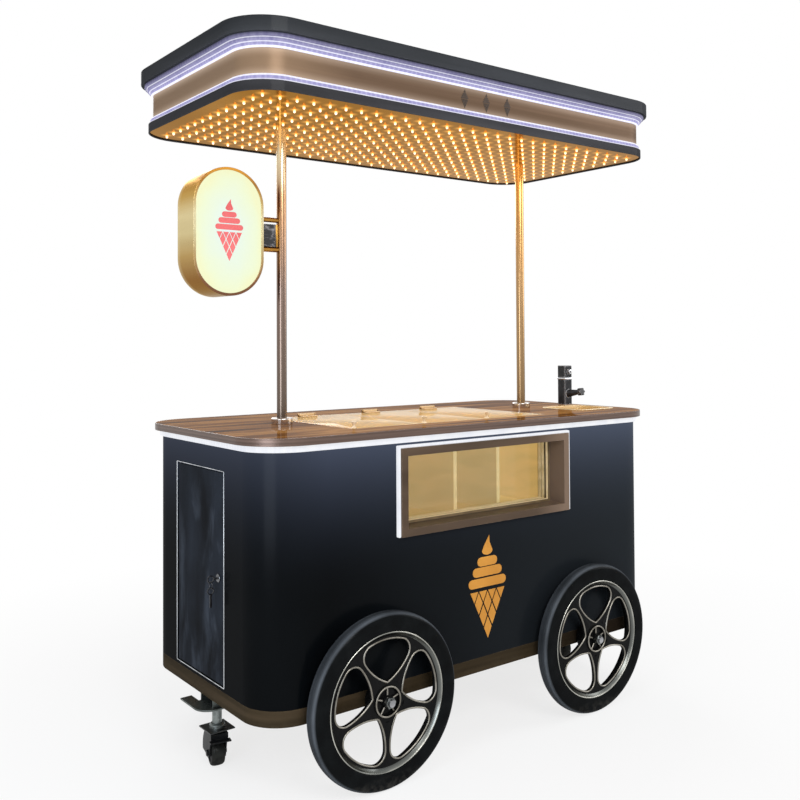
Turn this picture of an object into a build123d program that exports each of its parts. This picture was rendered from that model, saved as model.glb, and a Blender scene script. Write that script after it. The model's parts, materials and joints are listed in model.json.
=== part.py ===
from build123d import *
import os
from math import asin, cos, pi, radians, sin, sqrt

os.makedirs("parts", exist_ok=True)

# Frame: origin on the ground under the middle, X along the cart, -Y the window side, +Z up, millimetres

# Cabinet body
body_length = 1600.0
body_depth = 780.0
body_corner = 125.0
body_height = 784.0  # bottom of the skirt to the top of the counter
sheet = 3.0  # painted steel sheet
skirt_height = 45.0
skirt_drop = 2.0  # the skirt hangs this far below the chassis
floor_thickness = 12.0
round_gap = 0.2  # rounded edges that meet stay this far apart

# Chassis and cabinet frame
chassis_tube = 40.0
chassis_wall = 2.5
cross_spacing = 440.0
stub_width = 120.0
frame_tube = 25.0
frame_wall = 2.0
weld_gap = 0.2

# Big wheels
wheel_radius = 250.0
wheel_spacing = 880.0
wheel_gap = 17.0  # body face to tyre
tyre_depth = 50.0
tyre_width = 50.0
tyre_shoulder = 16.0
rim_width = 40.0
rim_band = 22.0
rim_barrel = 8.0  # rim thickness behind the spokes
rim_dish = 17.0  # width of the rim's sloped face
rim_lip = 9.0  # spokes' face out to the rim's edge
rim_edge = 0.7
spoke_thickness = 11.0
spoke_width = 30.0
spoke_count = 5
petal_bulge = 13.0
petal_margin = 3.0  # rim band to a petal opening
petal_corner = 32.0
hub_radius = 44.0
hub_margin = 11.0  # hub edge to the tip of a petal opening
hub_recess = 10.0
hub_wall = 4.0
hub_core = 17.0
hub_rib = 5.0
hub_rib_root = 2.0  # ribs run this far into the hub's core and wall
axle_radius = 10.0
axle_collar = 16.0
axle_nut = 17.0
axle_nut_height = 14.0
axle_end = 6.0  # thread standing out of the nut
running_gap = 0.05
side_gap = 0.5

# End casters
caster_inset = 50.0  # body end to the stem
caster_radius = 40.0
caster_width = 40.0
caster_tread = 6.0
caster_trail = 10.0
caster_pin = 5.0
caster_pin_head = 9.0
caster_pin_head_height = 4.0
fork_cheek = 4.0
fork_gap = 2.0  # wheel side to cheek
fork_clear = 22.0  # wheel tread to hood
fork_crown = 4.0
fork_lip = 86.0  # ground to the hood's lower edge
fork_crown_half = 32.0
fork_foot = 14.0
fork_skirt = 30.0  # ground to the cheeks' lower edge behind the wheel
brim_reach = 19.0
brim_flare = 5.0  # brim past each cheek
brim_thickness = 4.0
caster_turn = 192.0  # both casters stand turned by this about their stems
swivel_gap = 0.5
race_radius = 24.0
race_height = 7.5
king_radius = 6.0
plate_side = 80.0
plate_thickness = 4.0
stem_radius = 14.5
stem_nut = 23.0
stem_nut_height = 13.0
stem_nut_edge = 5.0
bracket_plate = 5.0
bracket_drop = 30.0  # chassis to the bracket's base
bracket_width = 150.0
bracket_reach = 34.0  # past the body end
bracket_corner = 50.0
bracket_ear = 36.0
bracket_ear_length = 52.0

# Counter
counter_thickness = 22.0
counter_overhang = 25.0
edge_band = 3.0
strip_height = 19.0
strip_width = 10.0

# Window
window_width = 712.0
window_height = 262.0
window_drop = 187.0  # counter top to the window's middle
window_bar = 24.0
window_proud = 20.0
window_reveal = 63.0  # panel face to the outer pane
window_rebate = 6.0
window_strip = 8.0
window_strip_depth = 16.0
pane_thickness = 5.0
pane_setback = 6.0  # inner pane to the frame's back end

# Display well
well_length = 812.0
well_depth = 500.0
well_centre = -44.0
well_front = 100.0  # body face to the well
well_height = 302.0
well_wall = 12.0
divider_thickness = 12.0
divider_positions = (-44.0, 145.0)
divider_drop = 8.0
rim_wall = 4.0
rim_ledge = 10.0
lid_thickness = 6.0
lid_gap = 2.0
lid_count = 3
lid_edge = 1.0
knob_radius = 8.0
knob_height = 22.0
knob_inset = 10.0
hinge_pin = 2.0
hinge_barrel = 5.0
hinge_length = 60.0
hinge_leaf = 26.0
hinge_leaf_thickness = 3.0
hinge_lift = 1.0  # counter top to the barrel
hinge_ear = 5.0
hinge_ear_gap = 0.5

# Sink and tap
sink_inset = 128.0  # body end to the sink's middle
sink_setback = 230.0  # body face to the sink's middle
sink_side = 190.0
sink_corner = 30.0
sink_depth = 120.0
sink_wall = 2.0
sink_flange = 12.0
sink_waste = 22.0
sink_waste_length = 40.0
tap_inset = 18.0  # body end to the tap's middle
tap_setback = 169.5  # sink's middle to the tap's middle
tap_side = 42.0
tap_corner = 5.0
tap_column_height = 102.0
tap_collar = 2.0
tap_collar_height = 6.0
tap_head_height = 49.0
tap_head_gap = 0.3
tap_spigot = 10.0
tap_spigot_length = 15.0
tap_outlet = 9.0
tap_outlet_length = 10.0
tap_neck_height = 42.0
tap_neck_length = 58.0
tap_neck_root = 18.0
tap_neck_tip = 9.0
tap_neck_tilt = 8.0
tap_knob_radius = 11.0
tap_knob_lobe = 5.0
tap_knob_lobes = 6
tap_knob_thickness = 16.0
tap_spindle = 4.0
tap_spindle_length = 14.0

# End door
door_width = 316.0
door_height = 606.0
door_y = 11.0  # middle of the door
door_thickness = 18.0
door_gap = 2.0
door_trim = 6.0
door_trim_proud = 1.0
door_pivot = 6.0  # pivot in from the outer face and the back edge
door_pin = 3.0
door_pin_depth = 14.0
lock_radius = 9.0
lock_flange = 12.0
lock_flange_height = 3.0
lock_inset = 31.0  # front edge to the lock
lock_drop = 304.0  # door top to the lock
lock_cam_length = 46.0
lock_cam_width = 12.0
lock_cam_thickness = 2.5
lock_cam_gap = 2.0
key_bow = 11.0
key_thickness = 2.5
key_neck = 10.0
key_neck_width = 7.0

# Rear sliding doors
rear_opening = 370.0  # stays between the rear wheels
rear_opening_height = 340.0
rear_door_thickness = 8.0
rear_door_overlap = 40.0
rear_door_cover = 14.0
track_gap = 0.4
track_wall = 2.5
track_depth = 8.0
track_height = 14.0
pull_radius = 20.0
pull_depth = 3.0
pull_inset = 40.0

# Canopy
canopy_clearance = 944.0  # counter top to the canopy's lower edge
rim_length = 1692.0
rim_depth = 804.0
rim_corner = 127.0
canopy_rim_wall = 5.0
canopy_rim_height = 29.0
canopy_ledge = 30.0
canopy_ledge_thickness = 3.0
ceiling_recess = 4.0
ceiling_thickness = 3.0
lower_strip_inset = 6.0
lower_strip_height = 13.0
strip_ring_width = 12.0
fascia_inset = 15.0
fascia_height = 84.0
fascia_sheet = 2.0
step_count = 3
step_height = 9.5
step_reach = 9.0
cap_overhang = 38.0  # cap edge past the fascia
cap_height = 43.0
cap_sheet = 3.0
cap_lip = 40.0
cap_edge = 3.0
canopy_tube = 30.0
bulb_pitch = 55.0
bulb_columns = 29
bulb_rows = 13
bulb_radius = 6.0

# Posts
post_spacing = 1052.0
post_radius = 16.0
post_wall = 2.0
post_fit = 0.3
flange_radius = 34.0
flange_height = 20.0
flange_edge = 4.0

# Sign
sign_width = 230.0
sign_height = 388.0
sign_depth = 115.0
sign_wall = 8.0
sign_lift = 594.0  # counter top to the sign's middle
sign_offset = 209.0  # post to the sign's middle
sign_face = 4.0
sign_face_inset = 2.0
arm_radius = 8.0
arm_spacing = 94.0
arm_lift = 6.0  # sign's middle to the arms' middle
box_width = 44.0
box_corner = 6.0
box_gap = 1.0  # box to the post
box_top_gap = 6.0  # box to the upper arm

# Cold unit and water tanks
unit_length = 350.0
unit_width = 260.0
unit_inset = 415.0  # body end to the unit's middle
unit_y = 60.0
unit_base = 10.0
compressor_radius = 85.0
compressor_height = 190.0
compressor_dome = 40.0
compressor_foot = 10.0
condenser_thickness = 60.0
condenser_height = 230.0
fan_radius = 95.0
fan_depth = 18.0
tank_length = 170.0
tank_width = 200.0
tank_height = 320.0
tank_end_gap = 62.0  # end panel to the tanks
tank_gap = 30.0
tank_edge = 18.0
tank_cap = 25.0
tank_cap_height = 18.0

# Levels and places worked out from the sizes above
axle_height = wheel_radius
chassis_bottom = axle_height - chassis_tube / 2
chassis_top = axle_height + chassis_tube / 2
skirt_bottom = chassis_bottom - skirt_drop
skirt_top = skirt_bottom + skirt_height
floor_top = chassis_top + floor_thickness
counter_top_z = skirt_bottom + body_height
counter_under = counter_top_z - counter_thickness
panel_height = counter_under - skirt_top
flat_length = body_length - 2 * body_corner
flat_depth = body_depth - 2 * body_corner
body_face = body_depth / 2
body_end = body_length / 2
inner_face = body_face - sheet
inner_end = body_end - sheet
counter_length = body_length + 2 * counter_overhang
counter_depth = body_depth + 2 * counter_overhang
counter_corner = body_corner + counter_overhang
window_z = counter_top_z - window_drop
well_front_y = -body_face + well_front
well_y = well_front_y + well_depth / 2
sink_x = body_end - sink_inset
sink_y = -body_face + sink_setback
tap_x = body_end - tap_inset
tap_y = sink_y + tap_setback
unit_x = -body_end + unit_inset
tank_x = inner_end - tank_end_gap - tank_length / 2
post_x = post_spacing / 2
canopy_bottom = counter_top_z + canopy_clearance


# Chassis: long rails, cross members and a stub at each end for the caster
rail_y = inner_face - chassis_tube / 2
cross_end = flat_length / 2 - chassis_tube / 2
cross_half = rail_y - chassis_tube / 2 - weld_gap
cross_places = [-cross_end, -cross_spacing / 2, cross_spacing / 2, cross_end]
stub_start = flat_length / 2 + weld_gap
chassis_hollow = chassis_tube - 2 * chassis_wall
with BuildPart() as chassis_frame:
    with BuildSketch(Plane.YZ.offset(-flat_length / 2)):
        with Locations((-rail_y, axle_height), (rail_y, axle_height)):
            Rectangle(chassis_tube, chassis_tube)
            Rectangle(chassis_hollow, chassis_hollow, mode=Mode.SUBTRACT)
    extrude(amount=flat_length)
    with Locations((-wheel_spacing / 2, 0, axle_height), (wheel_spacing / 2, 0, axle_height)):
        Cylinder(axle_radius + running_gap, body_depth, rotation=(90, 0, 0), mode=Mode.SUBTRACT)
    with BuildSketch(Plane.XZ):
        with Locations(*[(x, axle_height) for x in cross_places]):
            Rectangle(chassis_tube, chassis_tube)
            Rectangle(chassis_hollow, chassis_hollow, mode=Mode.SUBTRACT)
    extrude(amount=cross_half, both=True)
    for end in (-1, 1):
        with BuildSketch(Plane.YZ.offset(end * stub_start)):
            with Locations((0, axle_height)):
                Rectangle(stub_width, chassis_tube)
                Rectangle(stub_width - 2 * chassis_wall, chassis_hollow, mode=Mode.SUBTRACT)
        extrude(amount=end * (inner_end - stub_start))
chassis_frame.part.label = "chassis_frame"
export_step(chassis_frame.part, "parts/chassis_frame.step")

# Floor of the cabinet, laid on the chassis
floor_length = body_length - 2 * (sheet + round_gap)
floor_depth = body_depth - 2 * (sheet + round_gap)
with BuildPart() as floor_panel:
    with BuildSketch(Plane.XY.offset(chassis_top)):
        RectangleRounded(floor_length, floor_depth, body_corner - sheet)
    extrude(amount=floor_thickness)
floor_panel.part.label = "floor_panel"
export_step(floor_panel.part, "parts/floor_panel.step")

# Skirt round the chassis, with holes for the axles
with BuildPart() as skirt_band:
    with BuildSketch(Plane.XY.offset(skirt_bottom)):
        RectangleRounded(body_length, body_depth, body_corner)
        RectangleRounded(2 * inner_end, 2 * inner_face, body_corner - sheet, mode=Mode.SUBTRACT)
    extrude(amount=skirt_height)
    with Locations((-wheel_spacing / 2, 0, axle_height), (wheel_spacing / 2, 0, axle_height)):
        Cylinder(axle_radius + side_gap, body_depth, rotation=(90, 0, 0), mode=Mode.SUBTRACT)
skirt_band.part.label = "skirt_band"
export_step(skirt_band.part, "parts/skirt_band.step")

# Front panel with the window cut-out
panel_mid = (skirt_top + counter_under) / 2
with BuildPart() as front_panel:
    with BuildSketch(Plane.XZ.offset(inner_face)):
        with Locations((0, panel_mid)):
            Rectangle(flat_length, panel_height)
        with Locations((0, window_z)):
            Rectangle(window_width, window_height, mode=Mode.SUBTRACT)
    extrude(amount=sheet)
front_panel.part.label = "front_panel"
export_step(front_panel.part, "parts/front_panel.step")

# Left end panel with the door opening
door_bottom = floor_top + door_trim + door_gap
door_z = door_bottom + door_height / 2
trim_width = door_width + 2 * (door_gap + door_trim)
trim_height = door_height + 2 * (door_gap + door_trim)
with BuildPart() as left_end_panel:
    with BuildSketch(Plane.YZ.offset(-body_end)):
        with Locations((0, panel_mid)):
            Rectangle(flat_depth, panel_height)
        with Locations((door_y, door_z)):
            Rectangle(trim_width, trim_height, mode=Mode.SUBTRACT)
    extrude(amount=sheet)
left_end_panel.part.label = "left_end_panel"
export_step(left_end_panel.part, "parts/left_end_panel.step")

# Right end panel
with BuildPart() as right_end_panel:
    with BuildSketch(Plane.YZ.offset(inner_end)):
        with Locations((0, panel_mid)):
            Rectangle(flat_depth, panel_height)
    extrude(amount=sheet)
right_end_panel.part.label = "right_end_panel"
export_step(right_end_panel.part, "parts/right_end_panel.step")

# Rolled corner panels
with BuildPart() as corner_panels:
    with BuildSketch(Plane.XY.offset(skirt_top)):
        RectangleRounded(body_length, body_depth, body_corner)
        RectangleRounded(2 * inner_end, 2 * inner_face, body_corner - sheet, mode=Mode.SUBTRACT)
        Rectangle(flat_length, body_depth, mode=Mode.SUBTRACT)
        Rectangle(body_length, flat_depth, mode=Mode.SUBTRACT)
    extrude(amount=panel_height)
corner_panels.part.label = "corner_panels"
export_step(corner_panels.part, "parts/corner_panels.step")

# Rear panel with its opening, and the two tracks that the sliding doors run in
track_width = 2 * (rear_door_thickness + 2 * track_gap) + 3 * track_wall
track_slot = rear_door_thickness + 2 * track_gap
track_pitch = track_slot + track_wall
track_length = rear_opening + 4 * rear_door_cover
track_y = inner_face - track_width / 2
rear_bottom = floor_top + track_height
rear_mid = rear_bottom + rear_opening_height / 2
rear_top = rear_bottom + rear_opening_height
outer_track_y = track_y + track_pitch / 2
inner_track_y = track_y - track_pitch / 2
with BuildPart() as rear_panel:
    with BuildSketch(Plane.XZ.offset(-body_face)):
        with Locations((0, panel_mid)):
            Rectangle(flat_length, panel_height)
        with Locations((0, rear_mid)):
            Rectangle(rear_opening, rear_opening_height, mode=Mode.SUBTRACT)
    extrude(amount=sheet)
    with BuildSketch(Plane.YZ.offset(-track_length / 2)):
        with Locations((track_y, floor_top + track_height / 2), (track_y, rear_top + track_height / 2)):
            Rectangle(track_width, track_height)
        for y in (outer_track_y, inner_track_y):
            with Locations((y, rear_bottom - track_depth / 2), (y, rear_top + track_depth / 2)):
                Rectangle(track_slot, track_depth, mode=Mode.SUBTRACT)
    extrude(amount=track_length)
rear_panel.part.label = "rear_panel"
export_step(rear_panel.part, "parts/rear_panel.step")

# Sliding doors: the left one in the outer track, the right one in the inner track
rear_door_width = rear_opening / 2 + rear_door_overlap / 2 + rear_door_cover
rear_door_height = rear_opening_height + 2 * (track_depth - track_gap)
rear_door_shift = (rear_opening + 2 * rear_door_cover - rear_door_width) / 2
for name, side, y in (("rear_door_left", -1, outer_track_y), ("rear_door_right", 1, inner_track_y)):
    with BuildPart() as rear_door:
        with BuildSketch(Plane.XZ.offset(-y - rear_door_thickness / 2)):
            with Locations((side * rear_door_shift, rear_mid)):
                Rectangle(rear_door_width, rear_door_height)
        extrude(amount=rear_door_thickness)
        with BuildSketch(Plane.XZ.offset(-y - rear_door_thickness / 2)):
            with Locations((side * (rear_opening / 2 - pull_inset), rear_mid)):
                Circle(pull_radius)
        extrude(amount=pull_depth, mode=Mode.SUBTRACT)
    rear_door.part.label = name
    export_step(rear_door.part, f"parts/{name}.step")

# Cabinet frame: corner uprights and the long rails under the counter
upright_x = flat_length / 2 - frame_tube
upright_y = inner_face - frame_tube / 2
upright_height = counter_under - floor_top
frame_hollow = frame_tube - 2 * frame_wall
top_rail_half = upright_x - frame_tube / 2 - weld_gap
with BuildPart() as cabinet_frame:
    with BuildSketch(Plane.XY.offset(floor_top)):
        with GridLocations(2 * upright_x, 2 * upright_y, 2, 2):
            Rectangle(frame_tube, frame_tube)
            Rectangle(frame_hollow, frame_hollow, mode=Mode.SUBTRACT)
    extrude(amount=upright_height)
    with BuildSketch(Plane.YZ):
        with Locations(*[(y, counter_under - frame_tube / 2) for y in (-upright_y, upright_y)]):
            Rectangle(frame_tube, frame_tube)
            Rectangle(frame_hollow, frame_hollow, mode=Mode.SUBTRACT)
    extrude(amount=top_rail_half, both=True)
cabinet_frame.part.label = "cabinet_frame"
export_step(cabinet_frame.part, "parts/cabinet_frame.step")

# Counter with the cut-outs for the well and the sink
slab_inset = edge_band + round_gap
slab_length = counter_length - 2 * slab_inset
slab_depth = counter_depth - 2 * slab_inset
sink_hole = sink_side + 2 * round_gap
with BuildPart() as counter_top:
    with BuildSketch(Plane.XY.offset(counter_under)):
        RectangleRounded(slab_length, slab_depth, counter_corner - edge_band)
        with Locations((well_centre, well_y)):
            Rectangle(well_length, well_depth, mode=Mode.SUBTRACT)
        with Locations((sink_x, sink_y)):
            RectangleRounded(sink_hole, sink_hole, sink_corner, mode=Mode.SUBTRACT)
    extrude(amount=counter_thickness)
counter_top.part.label = "counter_top"
export_step(counter_top.part, "parts/counter_top.step")

with BuildPart() as counter_edge_band:
    with BuildSketch(Plane.XY.offset(counter_under)):
        RectangleRounded(counter_length, counter_depth, counter_corner)
        RectangleRounded(
            counter_length - 2 * edge_band,
            counter_depth - 2 * edge_band,
            counter_corner - edge_band,
            mode=Mode.SUBTRACT,
        )
    extrude(amount=counter_thickness)
counter_edge_band.part.label = "counter_edge_band"
export_step(counter_edge_band.part, "parts/counter_edge_band.step")

# Lit strips under the counter and over the top and sides of the window frame
with BuildPart() as counter_led_strips:
    with BuildSketch(Plane.XY.offset(counter_under - strip_height)):
        RectangleRounded(
            body_length + 2 * strip_width,
            body_depth + 2 * strip_width,
            body_corner + strip_width,
        )
        RectangleRounded(
            body_length + 2 * round_gap,
            body_depth + 2 * round_gap,
            body_corner + round_gap,
            mode=Mode.SUBTRACT,
        )
    extrude(amount=strip_height)
    with BuildSketch(Plane.XZ.offset(body_face)):
        with Locations((0, window_z + window_strip / 2)):
            Rectangle(window_width + 2 * window_strip, window_height + window_strip)
        with Locations((0, window_z)):
            Rectangle(window_width, window_height, mode=Mode.SUBTRACT)
    extrude(amount=window_strip_depth)
counter_led_strips.part.label = "counter_led_strips"
export_step(counter_led_strips.part, "parts/counter_led_strips.step")

# Window frame: a deep box through the panel, stepped behind the reveal for the panes
glass_y = body_face - window_reveal
frame_back_y = -(well_front_y + well_wall)
opening_width = window_width - 2 * window_bar
opening_height = window_height - 2 * window_bar
pane_width = opening_width + 2 * window_rebate
pane_height = opening_height + 2 * window_rebate
with BuildPart() as window_frame:
    with BuildSketch(Plane.XZ.offset(frame_back_y)):
        with Locations((0, window_z)):
            Rectangle(window_width, window_height)
            Rectangle(opening_width, opening_height, mode=Mode.SUBTRACT)
    extrude(amount=body_face + window_proud - frame_back_y)
    with BuildSketch(Plane.XZ.offset(frame_back_y)):
        with Locations((0, window_z)):
            Rectangle(pane_width, pane_height)
    extrude(amount=glass_y - frame_back_y, mode=Mode.SUBTRACT)
window_frame.part.label = "window_frame"
export_step(window_frame.part, "parts/window_frame.step")

with BuildPart() as window_glass:
    for y in (glass_y - pane_thickness, frame_back_y + pane_setback):
        with BuildSketch(Plane.XZ.offset(y)):
            with Locations((0, window_z)):
                Rectangle(pane_width, pane_height)
        extrude(amount=pane_thickness)
window_glass.part.label = "window_glass"
export_step(window_glass.part, "parts/window_glass.step")

# Well liner: an insulated box, open at the top and cut for the window frame
well_bottom = counter_under - well_height
with BuildPart() as well_liner:
    with BuildSketch(Plane.XY.offset(well_bottom)):
        with Locations((well_centre, well_y)):
            Rectangle(well_length, well_depth)
    extrude(amount=well_height)
    with BuildSketch(Plane.XY.offset(well_bottom + well_wall)):
        with Locations((well_centre, well_y)):
            Rectangle(well_length - 2 * well_wall, well_depth - 2 * well_wall)
    extrude(amount=well_height, mode=Mode.SUBTRACT)
    with BuildSketch(Plane.XZ.offset(frame_back_y)):
        with Locations((0, window_z)):
            Rectangle(window_width, window_height)
    extrude(amount=well_wall, mode=Mode.SUBTRACT)
well_liner.part.label = "well_liner"
export_step(well_liner.part, "parts/well_liner.step")

divider_length = well_depth - 2 * well_wall
divider_height = well_height - well_wall - divider_drop
with BuildPart() as well_dividers:
    with BuildSketch(Plane.XY.offset(well_bottom + well_wall)):
        with Locations(*[(x, well_y) for x in divider_positions]):
            Rectangle(divider_thickness, divider_length)
    extrude(amount=divider_height)
well_dividers.part.label = "well_dividers"
export_step(well_dividers.part, "parts/well_dividers.step")

# Rim of the well: a wall in the cut-out, a ledge for the lids and ears for their hinge pins
lid_under = counter_top_z - lid_thickness
lid_span = well_length - 2 * rim_wall - 2 * lid_edge
lid_width = (lid_span - (lid_count - 1) * lid_gap) / lid_count
lid_pitch = lid_width + lid_gap
lid_depth = well_depth - 2 * rim_wall - 2 * lid_edge
lid_centres = [well_centre + (i - (lid_count - 1) / 2) * lid_pitch for i in range(lid_count)]
hinge_y = well_y + well_depth / 2 - rim_wall / 2
hinge_z = counter_top_z + hinge_lift + hinge_barrel
ear_shift = hinge_length / 2 + hinge_ear_gap + hinge_ear / 2
ear_places = [x + side * ear_shift for x in lid_centres for side in (-1, 1)]
ledge_inset = rim_wall + rim_ledge
with BuildPart() as well_rim:
    with BuildSketch(Plane.XY.offset(counter_under)):
        with Locations((well_centre, well_y)):
            Rectangle(well_length, well_depth)
            Rectangle(well_length - 2 * rim_wall, well_depth - 2 * rim_wall, mode=Mode.SUBTRACT)
    extrude(amount=counter_thickness)
    with BuildSketch(Plane.XY.offset(counter_under)):
        with Locations((well_centre, well_y)):
            Rectangle(well_length - rim_wall, well_depth - rim_wall)
            Rectangle(well_length - 2 * ledge_inset, well_depth - 2 * ledge_inset, mode=Mode.SUBTRACT)
    extrude(amount=lid_under - counter_under)
    for x in ear_places:
        with BuildSketch(Plane.YZ.offset(x - hinge_ear / 2)):
            with Locations((hinge_y, hinge_z)):
                Circle(hinge_barrel)
            with Locations((hinge_y, (counter_top_z + hinge_z) / 2)):
                Rectangle(rim_wall, hinge_z - counter_top_z)
            with Locations((hinge_y, hinge_z)):
                Circle(hinge_pin + running_gap, mode=Mode.SUBTRACT)
        extrude(amount=hinge_ear)
well_rim.part.label = "well_rim"
export_step(well_rim.part, "parts/well_rim.step")

# Clear lids, each with a knob near its front left corner and a barrel at the back
lid_names = ("lid_left", "lid_middle", "lid_right")
leaf_end_y = hinge_y - hinge_leaf
for name, x in zip(lid_names, lid_centres):
    with BuildPart() as lid:
        with BuildSketch(Plane.XY.offset(lid_under)):
            with Locations((x, well_y)):
                Rectangle(lid_width, lid_depth)
        extrude(amount=lid_thickness)
        with BuildSketch(Plane.XY.offset(counter_top_z)):
            with Locations((x - lid_width / 2 + knob_inset, well_y - lid_depth / 2 + knob_inset)):
                Circle(knob_radius)
        extrude(amount=knob_height)
        fillet(lid.faces().sort_by(Axis.Z)[-1].edges(), knob_radius / 2)
        with BuildSketch(Plane.YZ.offset(x - hinge_length / 2)):
            with Locations((hinge_y, hinge_z)):
                Circle(hinge_barrel)
            with Locations(((leaf_end_y + hinge_y) / 2, counter_top_z + hinge_leaf_thickness / 2)):
                Rectangle(hinge_leaf, hinge_leaf_thickness)
            with Locations((hinge_y, hinge_z)):
                Circle(hinge_pin + running_gap, mode=Mode.SUBTRACT)
        extrude(amount=hinge_length)
    lid.part.label = name
    export_step(lid.part, f"parts/{name}.step")

# Hinge pins: one along each lid, and one into the top and bottom of the end door
lid_pin_length = hinge_length + 2 * (hinge_ear_gap + hinge_ear)
pivot_x = -body_end + door_pivot
pivot_y = door_y + door_width / 2 - door_pivot
door_top = door_bottom + door_height
pin_reach = door_pin_depth + door_gap + door_trim
with BuildPart() as hinge_pins:
    with Locations(*[(x, hinge_y, hinge_z) for x in lid_centres]):
        Cylinder(hinge_pin, lid_pin_length, rotation=(0, 90, 0))
    with Locations((pivot_x, pivot_y, door_bottom + door_pin_depth - pin_reach / 2)):
        Cylinder(door_pin, pin_reach)
    with Locations((pivot_x, pivot_y, door_top - door_pin_depth + pin_reach / 2)):
        Cylinder(door_pin, pin_reach)
hinge_pins.part.label = "hinge_pins"
export_step(hinge_pins.part, "parts/hinge_pins.step")

# End door, its trim and its lock
trim_depth = door_thickness + door_trim_proud
with BuildPart() as end_door_trim:
    with BuildSketch(Plane.YZ.offset(-body_end - door_trim_proud)):
        with Locations((door_y, door_z)):
            Rectangle(trim_width, trim_height)
            Rectangle(door_width + 2 * door_gap, door_height + 2 * door_gap, mode=Mode.SUBTRACT)
    extrude(amount=trim_depth)
    with Locations((pivot_x, pivot_y, door_z)):
        Cylinder(door_pin + running_gap, trim_height, mode=Mode.SUBTRACT)
end_door_trim.part.label = "end_door_trim"
export_step(end_door_trim.part, "parts/end_door_trim.step")

lock_y = door_y - door_width / 2 + lock_inset
lock_z = door_top - lock_drop
with BuildPart() as end_door:
    with BuildSketch(Plane.YZ.offset(-body_end)):
        with Locations((door_y, door_z)):
            Rectangle(door_width, door_height)
    extrude(amount=door_thickness)
    hinge_edge = end_door.edges().filter_by(Axis.Z).sort_by(Axis.Y)[-2:].sort_by(Axis.X)[0]
    fillet(hinge_edge, door_pivot)
    for z, into in ((door_bottom, 1), (door_top, -1)):
        with BuildSketch(Plane.XY.offset(z)):
            with Locations((pivot_x, pivot_y)):
                Circle(door_pin + running_gap)
        extrude(amount=into * (door_pin_depth + side_gap), mode=Mode.SUBTRACT)
    with BuildSketch(Plane.YZ.offset(-body_end)):
        with Locations((lock_y, lock_z)):
            Circle(lock_radius + running_gap)
    extrude(amount=door_thickness, mode=Mode.SUBTRACT)
end_door.part.label = "end_door"
export_step(end_door.part, "parts/end_door.step")

cam_x = -body_end + door_thickness + lock_cam_gap
flange_x = -body_end - side_gap - lock_flange_height
key_x = flange_x - key_neck - key_bow
with BuildPart() as door_lock:
    with BuildSketch(Plane.YZ.offset(flange_x)):
        with Locations((lock_y, lock_z)):
            Circle(lock_radius)
    extrude(amount=cam_x + lock_cam_thickness - flange_x)
    with BuildSketch(Plane.YZ.offset(flange_x)):
        with Locations((lock_y, lock_z)):
            Circle(lock_flange)
    extrude(amount=lock_flange_height)
    with BuildSketch(Plane.YZ.offset(cam_x)):
        with Locations((lock_y, lock_z - lock_cam_length / 2)):
            Rectangle(lock_cam_width, lock_cam_length)
    extrude(amount=lock_cam_thickness)
    with BuildSketch(Plane.XZ.offset(-lock_y)):
        with Locations((key_x, lock_z)):
            Circle(key_bow)
        with Locations(((key_x + flange_x) / 2, lock_z)):
            Rectangle(flange_x - key_x, key_neck_width)
    extrude(amount=key_thickness / 2, both=True)
door_lock.part.label = "door_lock"
export_step(door_lock.part, "parts/door_lock.step")

# Sink bowl with its flange and waste
bowl_inner = sink_side - 2 * sink_wall
bowl_outer = sink_side + 2 * sink_flange
bowl_bottom = counter_top_z - sink_depth
with BuildPart() as sink_bowl:
    with BuildSketch(Plane.XY.offset(counter_top_z)):
        with Locations((sink_x, sink_y)):
            RectangleRounded(bowl_outer, bowl_outer, sink_corner + sink_flange)
    extrude(amount=sink_wall)
    with BuildSketch(Plane.XY.offset(bowl_bottom - sink_wall)):
        with Locations((sink_x, sink_y)):
            RectangleRounded(sink_side, sink_side, sink_corner)
    extrude(amount=sink_depth + sink_wall)
    with BuildSketch(Plane.XY.offset(bowl_bottom)):
        with Locations((sink_x, sink_y)):
            RectangleRounded(bowl_inner, bowl_inner, sink_corner - sink_wall)
    extrude(amount=sink_depth + sink_wall, mode=Mode.SUBTRACT)
    with BuildSketch(Plane.XY.offset(bowl_bottom - sink_wall)):
        with Locations((sink_x, sink_y)):
            Circle(sink_waste)
    extrude(amount=-sink_waste_length)
sink_bowl.part.label = "sink_bowl"
export_step(sink_bowl.part, "parts/sink_bowl.step")

# Tap: square column with a collar and a tilted neck, swivel head and star knob
collar_z = counter_top_z + tap_column_height
head_z = collar_z + tap_collar_height + tap_head_gap
neck_axis = (0, -cos(radians(tap_neck_tilt)), sin(radians(tap_neck_tilt)))
neck_plane = Plane(origin=(tap_x, tap_y, counter_top_z + tap_neck_height), x_dir=(1, 0, 0), z_dir=neck_axis)
neck_end = tap_side / 2 + tap_neck_length
with BuildPart() as tap_column:
    with BuildSketch(Plane.XY.offset(counter_top_z)):
        with Locations((tap_x, tap_y)):
            RectangleRounded(tap_side, tap_side, tap_corner)
    extrude(amount=tap_column_height)
    with BuildSketch(Plane.XY.offset(collar_z)):
        with Locations((tap_x, tap_y)):
            RectangleRounded(tap_side + 2 * tap_collar, tap_side + 2 * tap_collar, tap_corner + tap_collar)
    extrude(amount=tap_collar_height)
    with BuildSketch(neck_plane):
        Circle(tap_neck_root)
    with BuildSketch(neck_plane.offset(neck_end)):
        Circle(tap_neck_tip)
    loft()
    with BuildSketch(neck_plane.offset(neck_end)):
        Circle(tap_spindle + running_gap)
    extrude(amount=-tap_spindle_length - side_gap, mode=Mode.SUBTRACT)
    with BuildSketch(Plane.XY.offset(head_z - tap_head_gap)):
        with Locations((tap_x, tap_y)):
            Circle(tap_spigot + running_gap)
    extrude(amount=-tap_spigot_length - side_gap, mode=Mode.SUBTRACT)
tap_column.part.label = "tap_column"
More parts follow.
